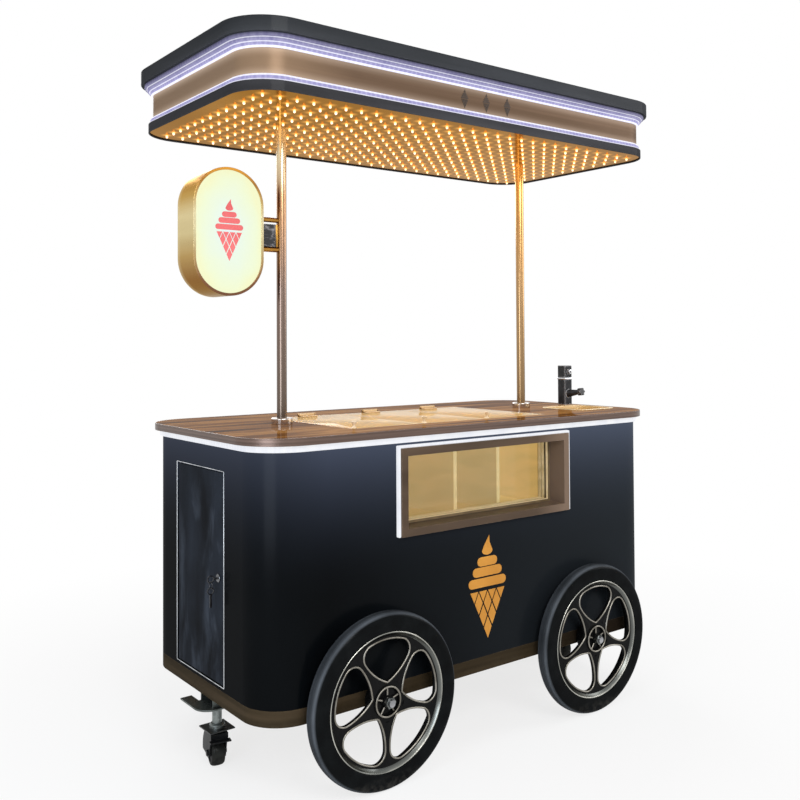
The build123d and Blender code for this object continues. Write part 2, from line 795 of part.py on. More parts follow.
export_step(tap_column.part, "parts/tap_column.step")

with BuildPart() as tap_head:
    with BuildSketch(Plane.XY.offset(head_z)):
        with Locations((tap_x, tap_y)):
            RectangleRounded(tap_side, tap_side, tap_corner)
    extrude(amount=tap_head_height)
    with BuildSketch(Plane.XY.offset(head_z)):
        with Locations((tap_x, tap_y)):
            Circle(tap_spigot)
    extrude(amount=-tap_spigot_length)
    with BuildSketch(Plane.XZ.offset(-tap_y + tap_side / 2)):
        with Locations((tap_x, head_z + tap_head_height / 2)):
            Circle(tap_outlet)
    extrude(amount=tap_outlet_length)
tap_head.part.label = "tap_head"
export_step(tap_head.part, "parts/tap_head.step")

with BuildPart() as tap_knob:
    with BuildSketch(neck_plane.offset(neck_end + tap_head_gap)):
        Circle(tap_knob_radius)
        with PolarLocations(tap_knob_radius, tap_knob_lobes):
            Circle(tap_knob_lobe)
    extrude(amount=tap_knob_thickness)
    with BuildSketch(neck_plane.offset(neck_end + tap_head_gap)):
        Circle(tap_spindle)
    extrude(amount=-tap_spindle_length)
tap_knob.part.label = "tap_knob"
export_step(tap_knob.part, "parts/tap_knob.step")

# Canopy rim with its inner ledge, and the mirror ceiling inside it
ceiling_under = canopy_bottom + ceiling_recess
ceiling_top = ceiling_under + ceiling_thickness
ledge_length = rim_length - 2 * canopy_rim_wall
ledge_depth = rim_depth - 2 * canopy_rim_wall
ledge_corner = rim_corner - canopy_rim_wall
with BuildPart() as canopy_rim:
    with BuildSketch(Plane.XY.offset(canopy_bottom)):
        RectangleRounded(rim_length, rim_depth, rim_corner)
        RectangleRounded(ledge_length, ledge_depth, ledge_corner, mode=Mode.SUBTRACT)
    extrude(amount=canopy_rim_height)
    with BuildSketch(Plane.XY.offset(ceiling_top)):
        RectangleRounded(
            rim_length - canopy_rim_wall, rim_depth - canopy_rim_wall, rim_corner - canopy_rim_wall / 2
        )
        RectangleRounded(
            ledge_length - 2 * canopy_ledge,
            ledge_depth - 2 * canopy_ledge,
            ledge_corner - canopy_ledge,
            mode=Mode.SUBTRACT,
        )
    extrude(amount=canopy_ledge_thickness)
canopy_rim.part.label = "canopy_rim"
export_step(canopy_rim.part, "parts/canopy_rim.step")

with BuildPart() as canopy_ceiling:
    with BuildSketch(Plane.XY.offset(ceiling_under)):
        RectangleRounded(ledge_length - 2 * round_gap, ledge_depth - 2 * round_gap, ledge_corner)
        with Locations((-post_x, 0), (post_x, 0)):
            Circle(post_radius + post_fit, mode=Mode.SUBTRACT)
    extrude(amount=ceiling_thickness)
canopy_ceiling.part.label = "canopy_ceiling"
export_step(canopy_ceiling.part, "parts/canopy_ceiling.step")

with BuildPart() as ceiling_bulbs:
    with Locations((0, 0, ceiling_under)):
        with GridLocations(bulb_pitch, bulb_pitch, bulb_columns, bulb_rows):
            Sphere(bulb_radius, arc_size1=-90, arc_size2=0, align=(Align.CENTER, Align.CENTER, Align.MAX))
ceiling_bulbs.part.label = "ceiling_bulbs"
export_step(ceiling_bulbs.part, "parts/ceiling_bulbs.step")

# Canopy frame: long rails on the rim's ledge and cross members over the posts
canopy_frame_bottom = ceiling_top + canopy_ledge_thickness
frame_reach = ledge_length / 2 - canopy_ledge / 2
frame_span = ledge_depth / 2 - canopy_ledge / 2
with BuildPart() as canopy_frame:
    with BuildSketch(Plane.XY.offset(canopy_frame_bottom)):
        with Locations((0, -flat_depth / 2), (0, flat_depth / 2)):
            Rectangle(2 * frame_reach, canopy_tube)
        with Locations((-post_x, 0), (post_x, 0)):
            Rectangle(2 * post_radius + canopy_tube, 2 * frame_span)
    extrude(amount=canopy_tube)
canopy_frame.part.label = "canopy_frame"
export_step(canopy_frame.part, "parts/canopy_frame.step")

# Fascia above the rim, with a lit strip below it and a stepped one above it
strip_z = canopy_bottom + canopy_rim_height
fascia_z = strip_z + lower_strip_height
steps_z = fascia_z + fascia_height
cap_z = steps_z + step_count * step_height
fascia_length = rim_length - 2 * fascia_inset
fascia_depth = rim_depth - 2 * fascia_inset
fascia_corner = rim_corner - fascia_inset
with BuildPart() as canopy_fascia:
    with BuildSketch(Plane.XY.offset(fascia_z)):
        RectangleRounded(fascia_length, fascia_depth, fascia_corner)
        RectangleRounded(
            fascia_length - 2 * fascia_sheet,
            fascia_depth - 2 * fascia_sheet,
            fascia_corner - fascia_sheet,
            mode=Mode.SUBTRACT,
        )
    extrude(amount=fascia_height)
canopy_fascia.part.label = "canopy_fascia"
export_step(canopy_fascia.part, "parts/canopy_fascia.step")

strip_length = rim_length - 2 * lower_strip_inset
strip_depth = rim_depth - 2 * lower_strip_inset
strip_corner = rim_corner - lower_strip_inset
with BuildPart() as canopy_led_strips:
    with BuildSketch(Plane.XY.offset(strip_z)):
        RectangleRounded(strip_length, strip_depth, strip_corner)
        RectangleRounded(
            strip_length - 2 * strip_ring_width,
            strip_depth - 2 * strip_ring_width,
            strip_corner - strip_ring_width,
            mode=Mode.SUBTRACT,
        )
    extrude(amount=lower_strip_height)
    for step in range(step_count):
        reach = (step + 1) * step_reach
        with BuildSketch(Plane.XY.offset(steps_z + step * step_height)):
            RectangleRounded(fascia_length + 2 * reach, fascia_depth + 2 * reach, fascia_corner + reach)
            RectangleRounded(
                fascia_length - 2 * strip_ring_width,
                fascia_depth - 2 * strip_ring_width,
                fascia_corner - strip_ring_width,
                mode=Mode.SUBTRACT,
            )
        extrude(amount=step_height)
canopy_led_strips.part.label = "canopy_led_strips"
export_step(canopy_led_strips.part, "parts/canopy_led_strips.step")

# Cap: a shallow pan turned over, with a lip that sits on the stepped strip
cap_length = fascia_length + 2 * cap_overhang
cap_depth = fascia_depth + 2 * cap_overhang
cap_corner = fascia_corner + cap_overhang
cap_hollow = cap_height - 2 * cap_sheet
with BuildPart() as canopy_cap:
    with BuildSketch(Plane.XY.offset(cap_z)):
        RectangleRounded(cap_length, cap_depth, cap_corner)
    extrude(amount=cap_height)
    fillet(canopy_cap.faces().sort_by(Axis.Z)[-1].edges(), cap_edge)
    with BuildSketch(Plane.XY.offset(cap_z + cap_sheet)):
        RectangleRounded(cap_length - 2 * cap_sheet, cap_depth - 2 * cap_sheet, cap_corner - cap_sheet)
    extrude(amount=cap_hollow, mode=Mode.SUBTRACT)
    with BuildSketch(Plane.XY.offset(cap_z)):
        RectangleRounded(cap_length - 2 * cap_lip, cap_depth - 2 * cap_lip, cap_corner - cap_lip)
    extrude(amount=cap_sheet, mode=Mode.SUBTRACT)
canopy_cap.part.label = "canopy_cap"
export_step(canopy_cap.part, "parts/canopy_cap.step")

# Posts from the counter up to the canopy frame, with a flange at each foot
with BuildPart() as canopy_posts:
    with BuildSketch(Plane.XY.offset(counter_top_z)):
        with Locations((-post_x, 0), (post_x, 0)):
            Circle(post_radius)
            Circle(post_radius - post_wall, mode=Mode.SUBTRACT)
    extrude(amount=canopy_frame_bottom - counter_top_z)
canopy_posts.part.label = "canopy_posts"
export_step(canopy_posts.part, "parts/canopy_posts.step")

with BuildPart() as post_flanges:
    with BuildSketch(Plane.XY.offset(counter_top_z)):
        with Locations((-post_x, 0), (post_x, 0)):
            Circle(flange_radius)
    extrude(amount=flange_height)
    fillet(post_flanges.faces().filter_by(Axis.Z).group_by(Axis.Z)[-1].edges(), flange_edge)
    with Locations((-post_x, 0, counter_top_z), (post_x, 0, counter_top_z)):
        Cylinder(post_radius + round_gap, 2 * flange_height, mode=Mode.SUBTRACT)
post_flanges.part.label = "post_flanges"
export_step(post_flanges.part, "parts/post_flanges.step")

# Sign: a stadium band with a face on each side, hung on the left post by two arms
sign_x = -post_x - sign_offset
sign_z = counter_top_z + sign_lift
sign_inner_height = sign_height - 2 * sign_wall
sign_inner_width = sign_width - 2 * sign_wall
with BuildPart() as sign_band:
    with BuildSketch(Plane.XZ):
        with Locations((sign_x, sign_z)):
            SlotOverall(sign_height, sign_width, rotation=90)
            SlotOverall(sign_inner_height, sign_inner_width, rotation=90, mode=Mode.SUBTRACT)
    extrude(amount=sign_depth / 2, both=True)
sign_band.part.label = "sign_band"
export_step(sign_band.part, "parts/sign_band.step")

face_inset = sign_wall + round_gap
with BuildPart() as sign_faces:
    for side in (-1, 1):
        with BuildSketch(Plane.XZ.offset(side * (sign_depth / 2 - sign_face_inset))):
            with Locations((sign_x, sign_z)):
                SlotOverall(sign_height - 2 * face_inset, sign_width - 2 * face_inset, rotation=90)
        extrude(amount=-side * sign_face)
sign_faces.part.label = "sign_faces"
export_step(sign_faces.part, "parts/sign_faces.step")

arm_start = sign_x + sign_width / 2
arm_middle = sign_z + arm_lift
arm_heights = (arm_middle - arm_spacing / 2, arm_middle + arm_spacing / 2)
with BuildPart() as sign_bracket:
    for z in arm_heights:
        with BuildSketch(Plane.YZ.offset(arm_start)):
            with Locations((0, z)):
                Circle(arm_radius)
        extrude(amount=-post_x - arm_start)
    with Locations((-post_x, 0, arm_middle)):
        Cylinder(post_radius + round_gap, 2 * arm_spacing, mode=Mode.SUBTRACT)
sign_bracket.part.label = "sign_bracket"
export_step(sign_bracket.part, "parts/sign_bracket.step")

box_length = -post_x - post_radius - box_gap - arm_start
box_height = arm_spacing - 2 * arm_radius - box_top_gap
with BuildPart() as sign_junction_box:
    with BuildSketch(Plane.XY.offset(arm_heights[0] + arm_radius)):
        with Locations((arm_start + box_length / 2, 0)):
            RectangleRounded(box_length, box_width, box_corner)
    extrude(amount=box_height)
sign_junction_box.part.label = "sign_junction_box"
export_step(sign_junction_box.part, "parts/sign_junction_box.step")

# Axles across the chassis, with a collar behind each wheel, and a nut in front of it
wheel_mid = body_face + wheel_gap + tyre_width / 2
hub_back = body_face + wheel_gap / 2
hub_front = wheel_mid + rim_width / 2
nut_start = hub_front + side_gap
axle_half = nut_start + axle_nut_height + axle_end
axle_places = (-wheel_spacing / 2, wheel_spacing / 2)
collar_start = body_face + side_gap
with BuildPart() as wheel_axles:
    with BuildSketch(Plane.XZ):
        with Locations(*[(x, axle_height) for x in axle_places]):
            Circle(axle_radius)
    extrude(amount=axle_half, both=True)
    for side in (-1, 1):
        with BuildSketch(Plane.XZ.offset(side * collar_start)):
            with Locations(*[(x, axle_height) for x in axle_places]):
                Circle(axle_collar)
        extrude(amount=side * (hub_back - side_gap - collar_start))
wheel_axles.part.label = "wheel_axles"
export_step(wheel_axles.part, "parts/wheel_axles.step")

with BuildPart() as axle_nuts:
    for side in (-1, 1):
        with BuildSketch(Plane.XZ.offset(side * nut_start)):
            with Locations(*[(x, axle_height) for x in axle_places]):
                RegularPolygon(axle_nut, 6)
                Circle(axle_radius + running_gap, mode=Mode.SUBTRACT)
        extrude(amount=side * axle_nut_height)
axle_nuts.part.label = "axle_nuts"
export_step(axle_nuts.part, "parts/axle_nuts.step")

# Petal opening between two spokes of a big wheel, drawn with its middle line up
rim_radius = wheel_radius - tyre_depth
band_radius = rim_radius - rim_band
petal_reach = band_radius - petal_margin
petal_root = hub_radius + hub_margin
petal_angle = pi / spoke_count - asin(spoke_width / 2 / petal_reach)
petal_x = petal_reach * sin(petal_angle)
petal_y = petal_reach * cos(petal_angle)
with BuildSketch() as petal:
    with BuildLine():
        SagittaArc((0, petal_root), (petal_x, petal_y), -petal_bulge)
        ThreePointArc((petal_x, petal_y), (0, petal_reach), (-petal_x, petal_y))
        SagittaArc((-petal_x, petal_y), (0, petal_root), -petal_bulge)
    make_face()
    fillet(petal.vertices().sort_by(SortBy.DISTANCE)[-2:], petal_corner)

# Four big wheels: a tyre on a casting with petal openings and a ribbed hub
rib_length = hub_radius - hub_wall - hub_core + 2 * hub_rib_root
rib_middle = (hub_radius - hub_wall + hub_core) / 2
spoke_front = (rim_width - hub_recess) / 2
spoke_back = spoke_front - spoke_thickness
for front_name, side in (("front", -1), ("rear", 1)):
    for end_name, x in zip(("left", "right"), axle_places):
        middle = Plane(origin=(x, side * wheel_mid, axle_height), x_dir=(-side, 0, 0), z_dir=(0, side, 0))
        with BuildPart() as tyre:
            with BuildSketch(middle.offset(-tyre_width / 2)):
                Circle(wheel_radius)
                Circle(rim_radius, mode=Mode.SUBTRACT)
            extrude(amount=tyre_width)
            fillet(tyre.edges().filter_by(GeomType.CIRCLE).group_by(SortBy.RADIUS)[-1], tyre_shoulder)
        tyre.part.label = f"{front_name}_{end_name}_tyre"
        export_step(tyre.part, f"parts/{front_name}_{end_name}_tyre.step")

        section = Plane(origin=middle.origin, x_dir=(0, 0, 1), z_dir=(-side, 0, 0))
        with BuildPart() as wheel:
            with BuildSketch(section):
                with BuildLine():
                    Polyline(
                        (rim_radius - rim_barrel, -rim_width / 2),
                        (rim_radius - round_gap, -rim_width / 2),
                        (rim_radius - round_gap, spoke_front + rim_lip),
                        (rim_radius - rim_edge, spoke_front + rim_lip),
                        (rim_radius - rim_dish, spoke_front),
                        (rim_radius - rim_dish, spoke_back),
                        (rim_radius - rim_barrel, spoke_back),
                        close=True,
                    )
                make_face()
            revolve(axis=Axis(middle.origin, middle.z_dir))
            with BuildSketch(middle.offset(spoke_back)):
                Circle(rim_radius - rim_barrel)
                with PolarLocations(0, spoke_count):
                    add(petal.sketch, mode=Mode.SUBTRACT)
            extrude(amount=spoke_thickness)
            with BuildSketch(middle.offset(hub_back - wheel_mid)):
                Circle(hub_radius)
            extrude(amount=hub_front - hub_back)
            with BuildSketch(middle.offset(hub_front - wheel_mid)):
                Circle(hub_radius - hub_wall)
                Circle(hub_core, mode=Mode.SUBTRACT)
            extrude(amount=-hub_recess, mode=Mode.SUBTRACT)
            with BuildSketch(middle.offset(hub_front - wheel_mid - hub_recess)):
                with PolarLocations(rib_middle, spoke_count, start_angle=90):
                    Rectangle(rib_length, hub_rib)
            extrude(amount=hub_recess / 2)
            with BuildSketch(middle.offset(hub_back - wheel_mid)):
                Circle(axle_radius + running_gap)
            extrude(amount=hub_front - hub_back, mode=Mode.SUBTRACT)
        wheel.part.label = f"{front_name}_{end_name}_wheel"
        export_step(wheel.part, f"parts/{front_name}_{end_name}_wheel.step")

# Caster brackets: eared plate hung under each stub, stem with its nut, and the caster's top plate and race
caster_x = body_end - caster_inset
caster_top = 2 * caster_radius + fork_clear + fork_crown
plate_bottom = caster_top + swivel_gap + race_height
plate_top = plate_bottom + plate_thickness
bracket_top = chassis_bottom - bracket_drop
bracket_inner = flat_length / 2 + bracket_plate
bracket_outer = body_end + bracket_reach
bracket_length = bracket_outer - bracket_inner
bracket_middle = (bracket_outer + bracket_inner) / 2
flange_length = inner_end - bracket_inner - bracket_plate
flange_middle = bracket_inner + flange_length / 2
ear_root = bracket_width / 2 - bracket_ear_length
flange_places = (-(stub_width - bracket_plate) / 2, ear_root - bracket_plate / 2)
nut_top = plate_top + stem_nut_height
with BuildPart() as caster_brackets:
    for end in (-1, 1):
        with BuildSketch(Plane.XY.offset(bracket_top - bracket_plate)) as base:
            with Locations((end * bracket_middle, -bracket_ear_length / 2)):
                Rectangle(bracket_length, bracket_width - bracket_ear_length)
            with Locations((end * (bracket_outer - bracket_ear / 2), 0)):
                Rectangle(bracket_ear, bracket_width)
            front_corners = base.vertices().group_by(Axis.Y)[0].sort_by(Axis.X)
            fillet(front_corners[0 if end < 0 else -1], bracket_corner)
        extrude(amount=bracket_plate)
        with BuildSketch(Plane.XY.offset(bracket_top - bracket_plate)):
            with Locations(*[(end * flange_middle, y) for y in flange_places]):
                Rectangle(flange_length, bracket_plate)
        extrude(amount=bracket_drop + bracket_plate)
        with BuildSketch(Plane.XY.offset(plate_top)):
            with Locations((end * caster_x, 0)):
                Circle(stem_radius)
        extrude(amount=bracket_top - plate_top)
        with Locations((end * caster_x, 0, nut_top)):
            Cone(stem_nut, stem_nut - stem_nut_edge, stem_nut_edge, align=(Align.CENTER, Align.CENTER, Align.MAX))
        with BuildSketch(Plane.XY.offset(plate_top)):
            with Locations((end * caster_x, 0)):
                Circle(stem_nut)
        extrude(amount=stem_nut_height - stem_nut_edge)
        with BuildSketch(Plane.XY.offset(plate_bottom)):
            with Locations((end * caster_x, 0)):
                Rectangle(plate_side, plate_side)
        extrude(amount=plate_thickness)
        with BuildSketch(Plane.XY.offset(plate_bottom)):
            with Locations((end * caster_x, 0)):
                Circle(race_radius)
        extrude(amount=-race_height)
        with BuildSketch(Plane.XY.offset(plate_bottom)):
            with Locations((end * caster_x, 0)):
                Circle(king_radius)
        extrude(amount=caster_top - fork_crown + side_gap - plate_bottom)
caster_brackets.part.label = "caster_brackets"
export_step(caster_brackets.part, "parts/caster_brackets.step")

# Caster forks, each a hood with a brim over its wheel and the wheel's pin, and the wheels
hood_half = caster_width / 2 + fork_gap + fork_cheek
slot_half = caster_width / 2 + fork_gap
hood_inside = caster_radius + fork_clear
hood_radius = hood_inside + fork_crown
brim_start = sqrt(hood_inside**2 - (fork_lip - caster_radius) ** 2) - caster_trail
roll_axis = (cos(radians(caster_turn)), -sin(radians(caster_turn)), 0)
trail_axis = (sin(radians(caster_turn)), cos(radians(caster_turn)), 0)
for name, end in (("left", -1), ("right", 1)):
    across = Plane(origin=(end * caster_x, 0, 0), x_dir=trail_axis, z_dir=roll_axis)
    with BuildPart() as fork:
        with BuildSketch(across):
            with Locations((-caster_trail, caster_radius)):
                Circle(hood_radius)
            with Locations((hood_radius / 2 - caster_trail, 0)):
                Rectangle(hood_radius, 2 * fork_lip, mode=Mode.SUBTRACT)
            with Locations((-hood_radius / 2 - caster_trail, 0)):
                Rectangle(hood_radius, 2 * fork_skirt, mode=Mode.SUBTRACT)
            with Locations((0, (caster_top + fork_lip) / 2)):
                Rectangle(2 * fork_crown_half, caster_top - fork_lip)
            with BuildLine():
                Polyline(
                    (-caster_trail - hood_radius / 2, fork_lip),
                    (-caster_trail - fork_foot, caster_radius - fork_foot),
                    (-caster_trail + fork_foot, caster_radius - fork_foot),
                    (-caster_trail + hood_radius / 2, fork_lip),
                    close=True,
                )
            make_face()
        extrude(amount=hood_half, both=True)
        with BuildSketch(across):
            with Locations((-caster_trail, caster_radius)):
                Circle(hood_inside)
            with Locations((-caster_trail, 0)):
                Rectangle(2 * hood_inside, 2 * caster_radius)
        extrude(amount=slot_half, both=True, mode=Mode.SUBTRACT)
        with BuildSketch(across):
            with Locations((brim_start + brim_reach / 2, fork_lip + brim_thickness / 2)):
                Rectangle(brim_reach, brim_thickness)
        extrude(amount=hood_half + brim_flare, both=True)
        with BuildSketch(Plane.XY.offset(caster_top)):
            with Locations((end * caster_x, 0)):
                Circle(king_radius + running_gap)
        extrude(amount=-caster_radius, mode=Mode.SUBTRACT)
        with BuildSketch(across):
            with Locations((-caster_trail, caster_radius)):
                Circle(caster_pin + running_gap)
        extrude(amount=hood_half, both=True, mode=Mode.SUBTRACT)
        with BuildSketch(across):
            with Locations((-caster_trail, caster_radius)):
                Circle(caster_pin)
        extrude(amount=hood_half + caster_pin_head_height, both=True)
        for cheek in (-1, 1):
            with BuildSketch(across.offset(cheek * (hood_half + round_gap))):
                with Locations((-caster_trail, caster_radius)):
                    Circle(caster_pin_head)
            extrude(amount=cheek * caster_pin_head_height)
    fork.part.label = f"caster_{name}_fork"
    export_step(fork.part, f"parts/caster_{name}_fork.step")

    with BuildPart() as caster_wheel:
        with BuildSketch(across):
            with Locations((-caster_trail, caster_radius)):
                Circle(caster_radius)
        extrude(amount=caster_width / 2, both=True)
        fillet(caster_wheel.edges().filter_by(GeomType.CIRCLE), caster_tread)
        with BuildSketch(across):
            with Locations((-caster_trail, caster_radius)):
                Circle(caster_pin + running_gap)
        extrude(amount=caster_width, both=True, mode=Mode.SUBTRACT)
    caster_wheel.part.label = f"caster_{name}_wheel"
    export_step(caster_wheel.part, f"parts/caster_{name}_wheel.step")

# Condensing unit of the cold well: base tray, compressor, and condenser with its fan ring
compressor_x = unit_x - unit_length / 2 + compressor_radius + compressor_foot
condenser_x = unit_x + unit_length / 2 - condenser_thickness
fan_z = floor_top + unit_base + condenser_height / 2
with BuildPart() as condensing_unit:
    with BuildSketch(Plane.XY.offset(floor_top)):
        with Locations((unit_x, unit_y)):
            Rectangle(unit_length, unit_width)
    extrude(amount=unit_base)
    with BuildSketch(Plane.XY.offset(floor_top + unit_base)):
        with Locations((compressor_x, unit_y)):
            Circle(compressor_radius)
    extrude(amount=compressor_height)
    fillet(condensing_unit.faces().sort_by(Axis.Z)[-1].edges(), compressor_dome)
    with BuildSketch(Plane.XY.offset(floor_top + unit_base)):
        with Locations((condenser_x + condenser_thickness / 2, unit_y)):
            Rectangle(condenser_thickness, unit_width)
    extrude(amount=condenser_height)
    with BuildSketch(Plane.YZ.offset(condenser_x)):
        with Locations((unit_y, fan_z)):
            Circle(fan_radius)
    extrude(amount=-fan_depth)
condensing_unit.part.label = "condensing_unit"
export_step(condensing_unit.part, "parts/condensing_unit.step")

# Clean and waste water tanks under the sink
tank_shift = (tank_width + tank_gap) / 2
with BuildPart() as water_tanks:
    with BuildSketch(Plane.XY.offset(floor_top)):
        with Locations((tank_x, -tank_shift), (tank_x, tank_shift)):
            RectangleRounded(tank_length, tank_width, tank_edge)
    extrude(amount=tank_height)
    with BuildSketch(Plane.XY.offset(floor_top + tank_height)):
        with Locations((tank_x, -tank_shift), (tank_x, tank_shift)):
            Circle(tank_cap)
    extrude(amount=tank_cap_height)
water_tanks.part.label = "water_tanks"
export_step(water_tanks.part, "parts/water_tanks.step")
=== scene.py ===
import json
from math import cos, pi, radians, sin

import bmesh
import bpy
from mathutils import Matrix, Vector


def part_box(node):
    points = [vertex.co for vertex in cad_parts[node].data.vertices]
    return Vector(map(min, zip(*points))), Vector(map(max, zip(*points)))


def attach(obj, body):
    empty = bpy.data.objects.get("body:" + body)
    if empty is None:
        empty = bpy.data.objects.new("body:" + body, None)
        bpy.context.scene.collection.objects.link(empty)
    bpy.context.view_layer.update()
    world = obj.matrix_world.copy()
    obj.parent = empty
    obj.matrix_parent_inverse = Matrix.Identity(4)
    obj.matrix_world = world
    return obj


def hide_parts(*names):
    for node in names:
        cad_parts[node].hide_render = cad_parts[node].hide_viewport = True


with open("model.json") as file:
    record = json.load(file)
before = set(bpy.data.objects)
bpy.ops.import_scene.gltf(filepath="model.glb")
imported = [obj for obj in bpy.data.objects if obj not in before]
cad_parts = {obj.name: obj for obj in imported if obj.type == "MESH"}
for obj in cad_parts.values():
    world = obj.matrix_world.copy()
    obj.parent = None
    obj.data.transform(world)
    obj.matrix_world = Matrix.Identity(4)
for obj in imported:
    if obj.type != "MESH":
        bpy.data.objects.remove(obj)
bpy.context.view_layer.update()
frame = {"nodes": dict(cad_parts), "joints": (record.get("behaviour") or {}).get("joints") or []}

nodes = frame["nodes"]
jointOf = {joint["child"]: joint for joint in frame["joints"]}
scene = bpy.context.scene
mm = 0.001
weldGap = 1e-6  # metres
flatGap = 1e-5
alongX = Vector((1, 0, 0))
alongY = Vector((0, 1, 0))
alongZ = Vector((0, 0, 1))
print("frame loaded,", len(nodes), "parts")


# material tools, where three numbers are a colour as shown on screen, 0 to 255

def tone(colour):
    linear = []
    for channel in colour:
        share = channel / 255
        linear.append(share / 12.92 if share <= 0.04045 else ((share + 0.055) / 1.055) ** 2.4)
    return (*linear, 1.0)


def plug(tree, node, sockets):  # links each socket, or sets its own value
    for key, value in sockets.items():
        socket = node.inputs[key]
        if isinstance(value, bpy.types.NodeSocket):
            tree.links.new(value, socket)
        else:
            screen = socket.type == "RGBA" and len(value) == 3
            socket.default_value = tone(value) if screen else value


def addNode(tree, kind, sockets=None, **settings):
    node = tree.nodes.new("ShaderNode" + kind)
    for key, value in settings.items():
        setattr(node, key, value)
    plug(tree, node, sockets or {})
    return node


def emptyTree(owner):
    owner.use_nodes = True
    owner.node_tree.nodes.clear()
    return owner.node_tree


def startMaterial(name):
    mat = bpy.data.materials.new(name)
    tree = emptyTree(mat)
    shader = addNode(tree, "BsdfPrincipled")
    addNode(tree, "OutputMaterial", {"Surface": shader.outputs["BSDF"]})
    return mat, tree, shader


def coords(tree, stretch=(1, 1, 1)):
    place = addNode(tree, "TexCoord").outputs["Object"]
    return addNode(tree, "Mapping", {"Vector": place, "Scale": stretch}).outputs["Vector"]


def axes(tree):  # X, Y and Z of the point, in metres
    return addNode(tree, "SeparateXYZ", {"Vector": coords(tree)}).outputs


def cloud(tree, scale, detail, warp=0.0, stretch=(1, 1, 1)):
    spots = {"Vector": coords(tree, stretch), "Scale": scale, "Detail": detail, "Distortion": warp}
    return addNode(tree, "TexNoise", spots).outputs[0]


def ramp(tree, factor, stops):
    node = addNode(tree, "ValToRGB", {"Fac": factor})
    points = node.color_ramp.elements
    points[0].position = stops[0][0]
    points[1].position = stops[-1][0]
    for place, colour in stops[1:-1]:
        points.new(place)
    for point, (place, colour) in zip(points, stops):
        point.color = tone(colour)
    return node.outputs["Color"]


def fit(tree, value, low, high, toLow=0.0, toHigh=1.0):
    spread = {"Value": value, "From Min": low, "From Max": high, "To Min": toLow, "To Max": toHigh}
    return addNode(tree, "MapRange", spread).outputs["Result"]


def shades(tree, noise, tones, low=0.32, high=0.68):
    step = (high - low) / (len(tones) - 1)
    return ramp(tree, noise, [(low + step * i, shade) for i, shade in enumerate(tones)])


def vary(tree, noise, low, high):  # most of a noise lies between 0.3 and 0.7
    return fit(tree, noise, 0.3, 0.7, low, high)


def calc(tree, kind, first, second=0.0):
    return addNode(tree, "Math", {0: first, 1: second}, operation=kind).outputs[0]


def times(tree, first, second):
    return calc(tree, "MULTIPLY", first, second)


def blend(tree, factor, first, second):
    return addNode(tree, "Mix", {0: factor, 6: first, 7: second}, data_type="RGBA").outputs[2]


def edgeMask(tree, reach):  # 1 along outer edges, 0 on flats
    soft = addNode(tree, "Bevel", {"Radius": reach}, samples=4)
    face = addNode(tree, "NewGeometry")
    sides = {0: soft.outputs[0], 1: face.outputs["Normal"]}
    match = addNode(tree, "VectorMath", sides, operation="DOT_PRODUCT").outputs["Value"]
    return fit(tree, match, 0.99, 0.86)


def addRelief(tree, shader, height, strength):
    bump = addNode(tree, "Bump", {"Height": height, "Strength": strength, "Distance": 1 * mm})
    plug(tree, shader, {"Normal": bump.outputs["Normal"]})


def lacquer(weight, roughness):  # a clear coat in place of the paint's own gloss
    return {"Specular IOR Level": 0.0, "Coat Weight": weight, "Coat Roughness": roughness}


def apart(tree, first, second):  # length of a step with these two sides
    return calc(tree, "SQRT", calc(tree, "ADD", times(tree, first, first), times(tree, second, second)))


def hubDistance(tree):  # from the axle line of the nearest big wheel
    hub = jointOf["front_right_road_wheel"]["pos_m"]
    place = axes(tree)
    x = calc(tree, "SUBTRACT", calc(tree, "ABSOLUTE", place[0]), hub[0])
    return apart(tree, x, calc(tree, "SUBTRACT", place[2], hub[2]))


